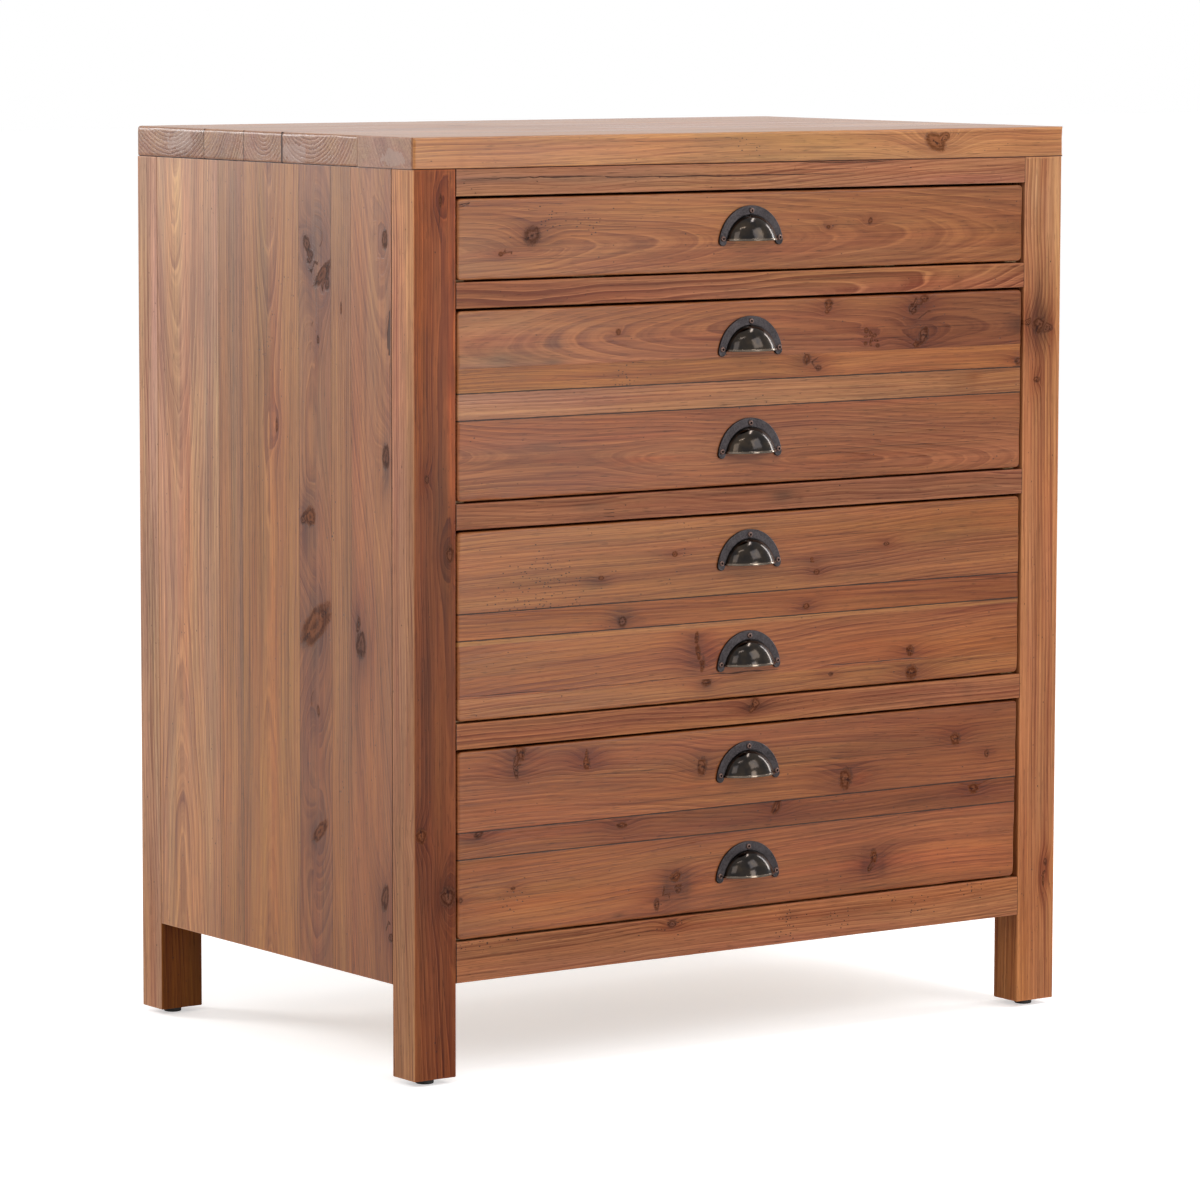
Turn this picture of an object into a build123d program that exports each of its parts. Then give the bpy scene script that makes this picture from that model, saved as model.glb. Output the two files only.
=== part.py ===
"""Pine chest of four inset drawers on four straight legs, with cup pulls.

Millimetres. +Z is up, the drawers open towards -Y and +X is to the right of someone facing
them. The origin lies on the floor, under the middle of the chest with its pulls.
Drawers, bays and mid rails are numbered from the top down.
"""
import itertools
import math
import os

from build123d import *

os.makedirs("parts", exist_ok=True)

# ---------------------------------------------------------------- the case
case_width = 800.0  # over the legs
case_depth = 506.0  # over the legs
floor_gap = 97.5  # floor to the underside of the bottom rail
shallow_bay = 82.0  # clear height of the top drawer's bay
deep_bay = 187.0  # clear height of each of the other bays
deep_bays = 3
bottom_rail_height = 40.0
mid_rail_height = 25.0
top_rail_height = 26.0
back_rail_height = 40.0
back_rail_thickness = 20.0
leg_width = 48.5  # across the front
leg_depth = 38.0  # front to back, and the depth of the front rails
worn_edge = 1.2  # small round along the edges of legs and rails

top_thickness = 30.5
top_overhang = 1.0
top_corner_round = 6.0
top_edge_round = 3.0
top_board_widths = (96.0, 136.0, 70.0, 74.0, 132.0)  # laid from the front, the last trimmed to fit

side_thickness = 16.0
side_bottom_drop = 1.5  # the side panel ends this far below the bottom rail
left_board_widths = (71.0, 35.0, 58.0, 105.0, 44.0, 117.0)  # laid from the front in the same way
right_board_widths = (88.0, 52.0, 97.0, 40.0, 76.0, 77.0)
narrowest_board = 30.0
board_bevel = 0.6  # bevel where two boards of a panel meet
back_thickness = 8.0
back_boards = 7

# ------------------------------------------------------- joinery and fixings
tenon_length = 18.0
tenon_thickness = 10.0
tenon_shoulder = 5.0
tongue_length = 8.0
tongue_thickness = 6.0
fit_gap = 0.1  # glue space round tenons, tongues, dowels and screws
ledge = 20.0  # how far a runner reaches under the drawer side
guide_height = 22.0
stop_width = 40.0
stop_height = 6.0
stop_offset = 180.0  # from the middle of the chest
stop_clearance = 0.2

case_screw_diameter = 4.0
case_screw_length = 40.0
case_screw_head = 8.0
case_screw_head_height = 3.0
case_screw_bite = 10.0  # into the side panel
counterbore_depth = 5.0  # under the top
screw_end_inset = 60.0  # from the ends of runners and kickers
back_screw_diameter = 3.0
back_screw_length = 20.0
back_screw_head = 6.0
back_screw_head_height = 1.8

foot_diameter = 18.0
foot_height = 6.0
foot_pin_diameter = 2.6
foot_pin_length = 14.0

# ------------------------------------------------------------- the drawers
front_thickness = 22.0
front_recess = 1.0  # behind the faces of the rails
front_side_gap = 2.5
front_top_gap = 2.5
front_bottom_gap = 2.0
front_corner_round = 5.0
front_edge_round = 2.5
false_rail_height = 26.0  # strip that makes a deep front look like two shallow ones
lower_plank_height = 77.5
seam_groove = 1.1
drawer_side_thickness = 14.0
drawer_back_thickness = 14.0
drawer_side_lap = 10.0  # wood left in front of the drawer side's end
side_top_gap = 5.0
back_top_drop = 6.0
running_gap = 0.3
rear_gap = 8.0  # between a drawer and the back rails
dado_depth = 5.0
dado_inset = 8.0
bottom_thickness = 6.0
bottom_rise = 9.0  # underside of the bottom above the drawer side's lower edge
groove_depth = 6.0

# --------------------------------------------------------------- the pulls
pull_radius = 39.5  # outside of the flange
pull_flange_width = 9.0
pull_flange_thickness = 2.2
pull_flange_round = 0.7
pull_projection = 20.0
bowl_overlap = 0.5  # how far the bowl's foot reaches under the flange
bowl_wall = 1.8
bowl_rim_rise = 5.0  # rim of the bowl above the foot of the ears
lip_height = 2.2
lip_swell = 0.9
pull_screw_diameter = 3.0
pull_screw_length = 16.0
pull_screw_head = 5.6
pull_screw_head_height = 1.4
ear_screw_rise = 7.2
top_screw_drop = 5.2  # below the crown of the flange
pull_pitch = 101.0  # between the two pulls of a deep drawer
pull_lift = 5.5  # of the pulls' middle above the middle of the bay

# ---------------------------------------------------------- worked-out places
half_width = case_width / 2
bay_half = half_width - leg_width
front_y = -(case_depth + top_overhang + front_recess - pull_projection) / 2
back_y = front_y + case_depth
rail_back_y = front_y + leg_depth
rear_leg_y = back_y - leg_depth
back_rail_y = back_y - back_thickness - back_rail_thickness
panel_inside = half_width - side_thickness
drawer_face_y = front_y + front_recess
drawer_front_back_y = drawer_face_y + front_thickness
drawer_side_y = drawer_face_y + drawer_side_lap
drawer_rear_y = back_rail_y - rear_gap
drawer_half = bay_half - front_side_gap
drawer_inside = drawer_half - drawer_side_thickness
bowl_radius = pull_radius - pull_flange_width + bowl_overlap

bays = []
bay_floor = floor_gap + bottom_rail_height
for bay_height in [deep_bay] * deep_bays + [shallow_bay]:
    bays.insert(0, (bay_floor, bay_floor + bay_height))
    bay_floor += bay_height + mid_rail_height
case_top = bays[0][1] + top_rail_height


# -------------------------------------------------------------------- tools
stand_up = (Align.CENTER, Align.CENTER, Align.MIN)  # base at the origin
hang_down = (Align.CENTER, Align.CENTER, Align.MAX)  # top at the origin


def block(x_low, x_high, y_low, y_high, z_low, z_high):
    """Square-edged board between two opposite corners."""
    middle = Pos((x_low + x_high) / 2, (y_low + y_high) / 2, (z_low + z_high) / 2)
    return middle * Box(x_high - x_low, y_high - y_low, z_high - z_low)


def side_block(side, near, far, y_low, y_high, z_low, z_high):
    """Board between two distances from the middle plane, left (-1) or right (+1)."""
    x_low, x_high = sorted((side * near, side * far))
    return block(x_low, x_high, y_low, y_high, z_low, z_high)


def grown(x_low, x_high, y_low, y_high, z_low, z_high):
    """The pocket for such a board, with the glue space all round."""
    gap = fit_gap
    return block(x_low - gap, x_high + gap, y_low - gap, y_high + gap, z_low - gap, z_high + gap)


def eased(board, axis, radius):
    """Round a board's edges along one axis."""
    return fillet(board.edges().filter_by(axis), radius)


def save(name, solids):
    """Write one sub-part, given as one solid or a list of separate ones."""
    shape = solids[0] if len(solids) == 1 else Compound(children=solids)
    shape.label = name
    export_step(shape, "parts/" + name + ".step")


def board_edges(low, high, widths):
    """Lay boards of the given widths side by side until they fill a panel."""
    edges = [low]
    for width in itertools.cycle(widths):
        if edges[-1] + width > high - narrowest_board:
            return edges + [high]
        edges.append(edges[-1] + width)


def split_boards(panel, cuts, axis):
    """Saw a panel into boards at the given heights (axis Z) or depths (axis Y)."""
    reach = 2 * (case_width + case_depth + case_top)
    edges = [-reach] + list(cuts) + [reach]
    boards = []
    for low, high in zip(edges, edges[1:]):
        if axis == Axis.Z:
            keep = block(-reach, reach, -reach, reach, low, high)
        else:
            keep = block(-reach, reach, low, high, -reach, reach)
        boards.append((panel & keep).solids()[0])
    return boards


def screw(diameter, length, head, head_height):
    """Pan-head screw along +Z, its point up and the underside of its head at the origin."""
    shank = Cylinder(diameter / 2, length - diameter, align=stand_up)
    tip = Pos(0, 0, length - diameter) * Cone(diameter / 2, diameter / 8, diameter, align=stand_up)
    cap = Cylinder(head / 2, head_height, align=hang_down)
    cap = chamfer(cap.edges().sort_by(Axis.Z)[0], head_height / 3)
    slot_width = head / 7
    slot_depth = head_height / 2
    slot_place = Pos(0, 0, slot_depth / 2 - head_height)
    for turn in (0, 90):
        cap -= slot_place * Rot(0, 0, turn) * Box(head * 0.6, slot_width, slot_depth)
    return shank + tip + cap


def screw_hole(diameter, length):
    """Hole for such a screw's shank."""
    depth = length + fit_gap
    return Cylinder(diameter / 2 + fit_gap, depth, align=stand_up)


# --------------------------------------------------------------- front rails
def rail_with_tenons(y_low, y_high, z_low, z_high):
    """Rail between a pair of legs, and the two mortises that its tenons need."""
    rail = eased(block(-bay_half, bay_half, y_low, y_high, z_low, z_high), Axis.X, worn_edge)
    middle = (y_low + y_high) / 2
    tenon_y = (middle - tenon_thickness / 2, middle + tenon_thickness / 2)
    tenon_z = (z_low + tenon_shoulder, z_high - tenon_shoulder)
    mortises = []
    for side in (-1, 1):
        tenon_x = sorted((side * bay_half, side * (bay_half + tenon_length)))
        rail += block(*tenon_x, *tenon_y, *tenon_z)
        mortises.append(grown(*tenon_x, *tenon_y, *tenon_z))
    return rail.solids()[0], mortises


front_mortises = []
back_mortises = []
front_rails = {"top_rail_front": (bays[0][1], case_top)}
for number in range(1, len(bays)):
    front_rails["mid_rail_" + str(number)] = (bays[number][1], bays[number - 1][0])
front_rails["bottom_rail_front"] = (floor_gap, bays[-1][0])
for name, (rail_low, rail_high) in front_rails.items():
    rail_solid, rail_mortises = rail_with_tenons(front_y, rail_back_y, rail_low, rail_high)
    front_mortises += rail_mortises
    save(name, [rail_solid])

# ---------------------------------------------- back rails and their screws
back_screw = screw(back_screw_diameter, back_screw_length, back_screw_head, back_screw_head_height)
back_screws = []
back_screw_holes = []
back_rails = {
    "top_rail_back": (case_top - back_rail_height, case_top),
    "bottom_rail_back": (floor_gap, floor_gap + back_rail_height),
}
back_board_width = 2 * bay_half / back_boards
for rail_low, rail_high in back_rails.values():
    for index in range(back_boards):
        screw_x = -bay_half + (index + 0.5) * back_board_width
        place = Pos(screw_x, back_y, (rail_low + rail_high) / 2) * Rot(90, 0, 0)
        back_screws.append(place * back_screw)
        back_screw_holes.append(place * screw_hole(back_screw_diameter, back_screw_length))
for name, (rail_low, rail_high) in back_rails.items():
    rail_solid, rail_mortises = rail_with_tenons(
        back_rail_y, back_y - back_thickness, rail_low, rail_high
    )
    back_mortises += rail_mortises
    save(name, [rail_solid - back_screw_holes])
save("back_screws", back_screws)

# --------------------------------------------------------------- back panel
back_panel_boards = []
for index in range(back_boards):
    board_low = -bay_half + index * back_board_width
    board = block(board_low, board_low + back_board_width, back_y - back_thickness, back_y,
                  floor_gap, case_top)
    board = chamfer(board.edges().filter_by(Axis.Z), board_bevel)
    back_panel_boards.append(board - back_screw_holes)
save("back_panel", back_panel_boards)

# ------------------------------------------- screws of the runners and the top
case_screw = screw(case_screw_diameter, case_screw_length, case_screw_head, case_screw_head_height)
case_screw_hole = screw_hole(case_screw_diameter, case_screw_length)
bore_radius = case_screw_head / 2 + 0.5
runner_inside = bay_half - ledge
screw_rows = (rail_back_y + screw_end_inset, rear_leg_y - screw_end_inset)
case_screws = []
case_screw_cuts = {-1: [], 1: []}


def add_case_screw(side, place, bore_depth):
    """Put a long screw in, with its hole and the counterbore behind its head."""
    bore = Cylinder(bore_radius, bore_depth, align=hang_down)
    case_screws.append(place * case_screw)
    case_screw_cuts[side] += [place * case_screw_hole, place * bore]


runner_bore = panel_inside + case_screw_bite - case_screw_length - runner_inside
kicker_screw_x = (bay_half + panel_inside) / 2
for side in (-1, 1):
    for screw_y in screw_rows:
        for bay_floor, _ in bays:
            seat = Pos(side * (runner_inside + runner_bore), screw_y, bay_floor - mid_rail_height / 2)
            add_case_screw(side, seat * Rot(0, side * 90, 0), runner_bore)
    for screw_y in (screw_rows[0], (screw_rows[0] + screw_rows[1]) / 2, screw_rows[1]):
        seat = Pos(side * kicker_screw_x, screw_y, bays[0][1] + counterbore_depth)
        add_case_screw(side, seat, counterbore_depth)
save("case_screws", case_screws)

# ------------------------------------- runners, guides, kickers and stops
guides = []
kickers = []
stops = []
for side, side_name in ((-1, "left"), (1, "right")):
    for number, (bay_floor, _) in enumerate(bays, 1):
        runner = side_block(side, runner_inside, panel_inside, rail_back_y, rear_leg_y,
                            bay_floor - mid_rail_height, bay_floor)
        save("runner_" + side_name + "_" + str(number), [runner - case_screw_cuts[side]])
        guides.append(side_block(side, bay_half, panel_inside, rail_back_y, rear_leg_y,
                                 bay_floor, bay_floor + guide_height))
        stops.append(side_block(side, stop_offset - stop_width / 2, stop_offset + stop_width / 2,
                                drawer_front_back_y + stop_clearance, rail_back_y,
                                bay_floor, bay_floor + stop_height))
    kicker = side_block(side, runner_inside, panel_inside, rail_back_y, rear_leg_y,
                        bays[0][1], case_top)
    kickers.append(kicker - case_screw_cuts[side])
save("drawer_guides", guides)
save("drawer_stops", stops)
save("top_kickers", kickers)


# -------------------------------------------------------------- side panels
def side_panel(side, widths):
    """Upright boards glued edge to edge, tongued into the legs in front and behind."""
    panel_low = floor_gap - side_bottom_drop
    edges = board_edges(rail_back_y, rear_leg_y, widths)
    tongue_near = half_width - (side_thickness + tongue_thickness) / 2
    boards = []
    for index, (low, high) in enumerate(zip(edges, edges[1:])):
        board = side_block(side, panel_inside, half_width, low, high, panel_low, case_top)
        board = chamfer(board.edges().filter_by(Axis.Z), board_bevel)
        if index == 0:
            board += side_block(side, tongue_near, tongue_near + tongue_thickness,
                                low - tongue_length, low + board_bevel, panel_low, case_top)
        if index == len(edges) - 2:
            board += side_block(side, tongue_near, tongue_near + tongue_thickness,
                                high - board_bevel, high + tongue_length, panel_low, case_top)
        boards.append((board - case_screw_cuts[side]).solids()[0])
    return boards


save("side_panel_left", side_panel(-1, left_board_widths))
save("side_panel_right", side_panel(1, right_board_widths))


# ---------------------------------------------------------- legs and feet
def tongue_groove(side, leg_face_y, way):
    """Groove in a leg for a side panel's tongue, cut the given way along Y."""
    middle = side * (half_width - side_thickness / 2)
    y_low, y_high = sorted((leg_face_y, leg_face_y + way * tongue_length))
    return grown(middle - tongue_thickness / 2, middle + tongue_thickness / 2, y_low, y_high,
                 floor_gap - side_bottom_drop, case_top)


feet = []
for side, side_name in ((-1, "left"), (1, "right")):
    for end_name, low, high in (("front", front_y, rail_back_y), ("back", rear_leg_y, back_y)):
        leg = side_block(side, bay_half, half_width, low, high, foot_height, case_top)
        leg = eased(leg, Axis.Z, worn_edge)
        if end_name == "front":
            leg -= front_mortises
            leg -= tongue_groove(side, high, -1)
        else:
            leg -= back_mortises
            leg -= tongue_groove(side, low, 1)
        foot_place = Pos(side * (half_width - leg_width / 2), (low + high) / 2, 0)
        disc = Cylinder(foot_diameter / 2, foot_height, align=stand_up)
        disc = fillet(disc.edges().sort_by(Axis.Z)[0], 1.0)
        pin_place = Pos(0, 0, foot_height)
        pin = pin_place * screw_hole(foot_pin_diameter - 2 * fit_gap, foot_pin_length - fit_gap)
        feet.append(foot_place * (disc + pin))
        leg -= foot_place * pin_place * screw_hole(foot_pin_diameter, foot_pin_length)
        save("leg_" + end_name + "_" + side_name, [leg.solids()[0]])
save("foot_glides", feet)

# ---------------------------------------------------------------- the top
top_panel = block(-half_width - top_overhang, half_width + top_overhang,
                  front_y - top_overhang, back_y + top_overhang, case_top, case_top + top_thickness)
top_panel = eased(top_panel, Axis.Z, top_corner_round)
top_panel = fillet(top_panel.faces().sort_by(Axis.Z)[-1].edges(), top_edge_round)
top_panel = fillet(top_panel.faces().sort_by(Axis.Z)[0].edges(), worn_edge)
top_panel -= case_screw_cuts[-1] + case_screw_cuts[1]
top_seams = board_edges(front_y - top_overhang, back_y + top_overhang, top_board_widths)[1:-1]
for seam in top_seams:
    vee = Pos(0, seam, case_top + top_thickness) * Rot(45, 0, 0)
    top_panel -= vee * Box(2 * case_width, board_bevel, board_bevel)
save("top_panel", split_boards(top_panel, top_seams, Axis.Y))


# --------------------------------------------------------------- cup pulls
def half_spheroid(radius, reach):
    """Half a flattened ball on the drawer's face, bulging towards -Y."""
    outline = Plane.XY * make_face(
        [EllipticalCenterArc((0, 0), radius, reach, -90, arc_size=90), Line((radius, 0), (0, 0)),
         Line((0, 0), (0, -reach))]
    )
    return revolve(outline, Axis.Y, 360)


def cup_pull():
    """Pull with its ears' feet at z = 0 and its back on the plane y = 0."""
    ear_radius = pull_flange_width / 2
    band_radius = pull_radius - ear_radius
    lift_angle = math.degrees(math.asin(ear_radius / band_radius))
    band = CenterArc((0, 0), band_radius, lift_angle, 180 - 2 * lift_angle)
    flange = extrude(Plane.XZ * SlotArc(band, pull_flange_width), pull_flange_thickness)
    flange = fillet(flange.faces().sort_by(Axis.Y)[0].edges(), pull_flange_round)
    reach = pull_projection - lip_swell
    bowl = half_spheroid(bowl_radius, reach)
    size = 4 * pull_radius
    lip_zone = block(-size, size, -size, 0, bowl_rim_rise, bowl_rim_rise + lip_height)
    lip = half_spheroid(bowl_radius + lip_swell, reach + lip_swell) & lip_zone
    lip = fillet(lip.edges().filter_by(lambda edge: abs(edge.center().Y) > 1.0), lip_swell * 0.6)
    hollow = half_spheroid(bowl_radius - bowl_wall, reach - bowl_wall)
    below = block(-size, size, -size, size, -size, bowl_rim_rise)
    pull = flange + (bowl - below) + lip
    pull -= hollow
    for screw_place in pull_screw_places():
        pull -= screw_place * Pos(0, 0, -1) * screw_hole(pull_screw_diameter, pull_screw_length)
    return pull.solids()[0]


def pull_screw_places():
    """The three screws, driven towards +Y with their heads on the flange."""
    ear_x = pull_radius - pull_flange_width / 2
    spots = ((0, pull_radius - top_screw_drop), (-ear_x, ear_screw_rise), (ear_x, ear_screw_rise))
    return [Pos(x, -pull_flange_thickness, z) * Rot(-90, 0, 0) for x, z in spots]


pull_shape = cup_pull()
pull_screw = screw(pull_screw_diameter, pull_screw_length, pull_screw_head, pull_screw_head_height)


# ---------------------------------------------------------------- drawers
def drawer_front(face_low, face_high, groove_low, screw_holes, seams):
    """Front board or glued planks, rebated for the sides and grooved for the bottom."""
    board = block(-drawer_half, drawer_half, drawer_face_y, drawer_front_back_y, face_low, face_high)
    board = eased(board, Axis.Y, front_corner_round)
    board = fillet(board.faces().sort_by(Axis.Y)[0].edges(), front_edge_round)
    for side in (-1, 1):
        board -= side_block(side, drawer_inside, drawer_half + fit_gap, drawer_side_y,
                            drawer_front_back_y + fit_gap, face_low - 1, face_high + 1)
    board -= block(-drawer_inside, drawer_inside, drawer_front_back_y - groove_depth - fit_gap,
                   drawer_front_back_y + fit_gap, groove_low - fit_gap,
                   groove_low + bottom_thickness + fit_gap)
    board -= screw_holes
    for seam in seams:
        vee = Pos(0, drawer_face_y, seam) * Rot(45, 0, 0)
        board -= vee * Box(2 * case_width, seam_groove, seam_groove)
    return split_boards(board, seams, Axis.Z)


def drawer_side(side, low, high, groove_low):
    """Side with a groove for the bottom and a dado for the back."""
    board = side_block(side, drawer_inside, drawer_half, drawer_side_y, drawer_rear_y, low, high)
    board -= side_block(side, drawer_inside - fit_gap, drawer_inside + groove_depth + fit_gap,
                        drawer_side_y - 1, drawer_rear_y + 1, groove_low - fit_gap,
                        groove_low + bottom_thickness + fit_gap)
    board -= side_block(side, drawer_inside - fit_gap, drawer_inside + dado_depth + fit_gap,
                        drawer_rear_y - dado_inset - drawer_back_thickness - fit_gap,
                        drawer_rear_y - dado_inset + fit_gap, groove_low, high + 1)
    return board.solids()[0]


pull_number = 0
for number, (bay_floor, bay_ceiling) in enumerate(bays, 1):
    name = "drawer_" + str(number)
    face_low = bay_floor + front_bottom_gap
    face_high = bay_ceiling - front_top_gap
    side_low = bay_floor + running_gap
    side_high = bay_ceiling - side_top_gap
    groove_low = side_low + bottom_rise
    bay_middle = (bay_floor + bay_ceiling) / 2
    if bay_ceiling - bay_floor < lower_plank_height + false_rail_height:
        pull_middles = [bay_middle + pull_lift]
        seams = []
    else:
        pull_middles = [bay_middle + pull_lift + pull_pitch / 2, bay_middle + pull_lift - pull_pitch / 2]
        seams = [face_low + lower_plank_height, face_low + lower_plank_height + false_rail_height]
    screws = []
    screw_holes = []
    for pull_middle in pull_middles:
        pull_number += 1
        pull_place = Pos(0, drawer_face_y, pull_middle - pull_radius / 2)
        save("cup_pull_" + str(pull_number), [pull_place * pull_shape])
        for screw_place in pull_screw_places():
            screws.append(pull_place * screw_place * pull_screw)
            screw_holes.append(
                pull_place * screw_place * screw_hole(pull_screw_diameter, pull_screw_length)
            )
    save("pull_screws_" + str(number), screws)
    save(name + "_front", drawer_front(face_low, face_high, groove_low, screw_holes, seams))
    save(name + "_side_left", [drawer_side(-1, side_low, side_high, groove_low)])
    save(name + "_side_right", [drawer_side(1, side_low, side_high, groove_low)])
    back_board = block(-drawer_inside - dado_depth, drawer_inside + dado_depth,
                       drawer_rear_y - dado_inset - drawer_back_thickness,
                       drawer_rear_y - dado_inset, groove_low + bottom_thickness + fit_gap,
                       side_high - back_top_drop)
    save(name + "_back", [back_board])
    bottom = block(-drawer_inside - groove_depth, drawer_inside + groove_depth,
                   drawer_front_back_y - groove_depth, drawer_rear_y - dado_inset,
                   groove_low, groove_low + bottom_thickness)
    save(name + "_bottom", [bottom])
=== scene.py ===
import math

import bpy
import numpy as np
from mathutils import Matrix, Vector


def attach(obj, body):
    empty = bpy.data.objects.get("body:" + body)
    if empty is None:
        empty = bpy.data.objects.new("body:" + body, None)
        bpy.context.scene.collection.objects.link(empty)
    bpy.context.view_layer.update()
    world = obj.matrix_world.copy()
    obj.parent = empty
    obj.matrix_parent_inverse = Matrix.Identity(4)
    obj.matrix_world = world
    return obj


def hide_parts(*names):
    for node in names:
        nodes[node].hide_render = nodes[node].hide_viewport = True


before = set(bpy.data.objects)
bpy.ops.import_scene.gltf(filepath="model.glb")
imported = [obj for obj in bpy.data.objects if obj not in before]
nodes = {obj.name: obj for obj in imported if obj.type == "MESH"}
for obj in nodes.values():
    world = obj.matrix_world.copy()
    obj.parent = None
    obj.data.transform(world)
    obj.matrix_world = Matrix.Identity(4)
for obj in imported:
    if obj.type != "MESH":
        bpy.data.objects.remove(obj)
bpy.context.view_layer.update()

X, Y, Z = 0, 1, 2

# ---- seeded noise


def hash01(i, j, k, seed):
    """A steady number from 0 to 1 for each lattice point."""
    n = (i * 374761393 + j * 668265263 + k * 2147483647 + seed * 974634777) & 0xFFFFFFFF
    n = ((n ^ (n >> 13)) * 1274126177) & 0xFFFFFFFF
    n = (n ^ (n >> 16)) & 0xFFFFFFFF
    return n / 4294967295.0


def noise3(p, size, seed):
    """Smooth value noise from -1 to 1 at points p, with features as long as size (a number or three)."""
    q = p / np.asarray(size, float)
    base = np.floor(q).astype(np.int64)
    f = q - base
    f = f * f * (3 - 2 * f)
    total = np.zeros(len(p))
    for a in (0, 1):
        for b in (0, 1):
            for c in (0, 1):
                w = (f[:, 0] if a else 1 - f[:, 0]) * (f[:, 1] if b else 1 - f[:, 1])
                w = w * (f[:, 2] if c else 1 - f[:, 2])
                total += w * hash01(base[:, 0] + a, base[:, 1] + b, base[:, 2] + c, seed)
    return total * 2 - 1


# ---- board meshes


def lines(lo, hi, reach, step):
    """Grid lines from lo to hi, close together within reach of both ends."""
    reach = min(reach, (hi - lo) * 0.3)
    near = reach * np.array([0, 0.07, 0.17, 0.3, 0.46, 0.66, 0.82])
    count = max(1, int(math.ceil((hi - lo - 2 * reach) / step)))
    mid = np.linspace(lo + reach, hi - reach, count + 1)
    return np.concatenate([lo + near, mid, (hi - near)[::-1]])


def box_grid(axes):
    """Points and quads of a box's surface with those grid lines on its three axes."""
    n = [len(a) for a in axes]
    index = -np.ones(n, int)
    ijk = np.meshgrid(*[np.arange(k) for k in n], indexing="ij")
    skin = np.zeros(n, bool)
    for a in range(3):
        skin |= (ijk[a] == 0) | (ijk[a] == n[a] - 1)
    index[skin] = np.arange(skin.sum())
    points = np.stack([axes[a][ijk[a][skin]] for a in range(3)], 1)
    quads = []
    for sheet, flip in (
        (index[0], True), (index[-1], False),
        (index[:, 0], False), (index[:, -1], True),
        (index[:, :, 0], True), (index[:, :, -1], False),
    ):
        q = np.stack([sheet[:-1, :-1], sheet[1:, :-1], sheet[1:, 1:], sheet[:-1, 1:]], -1).reshape(-1, 4)
        quads.append(q[:, ::-1] if flip else q)
    return points, np.concatenate(quads)


def path_at(points, u):
    """Smooth curve through the points' second and third numbers, against the first."""
    p = np.array(points, float) / 1000
    t, s = (p[:, 0] - p[0, 0]) / (p[-1, 0] - p[0, 0]), (u - p[0, 0]) / (p[-1, 0] - p[0, 0])
    return tuple(np.polyval(np.polyfit(t, p[:, k], len(p) - 1), s) for k in (1, 2))


def stain(r, g, b, k=1.0):
    """Linear colour of wood that looks like this 8-bit one through its thin even gloss."""
    return tuple(max(0.004, k * ((c / 255 + 0.055) / 1.055) ** 2.4 - 0.026) for c in (r, g, b))


def add_object(name, data):
    o = bpy.data.objects.new(name, data)
    bpy.context.scene.collection.objects.link(o)
    return o


FAR = 9.0  # a knot's distance, in its radii, where there is no knot
KNOT_GROWTH = 1.3  # how much larger than stated the knots are, for their ragged outline
HALO_DEPTH = 0.03  # how far into the board a knot's dark halo goes, in metres
WEAR = 0.5  # how much the edges' radius varies
DIP = 0.00012  # how far a planed face sinks at most
PAINT_DEPTH = 0.0012  # how far a face's colour, its own or painted light and shade, reaches round its edges
FLOOR_SHADE_TOP, FLOOR_SHADE_SPAN = 0.62, 0.5  # painted shade towards the floor grows from this height down, over this span, in metres
TAPER_TOP, TAPER_SPAN = 0.322, 0.183  # and narrow likewise


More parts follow.
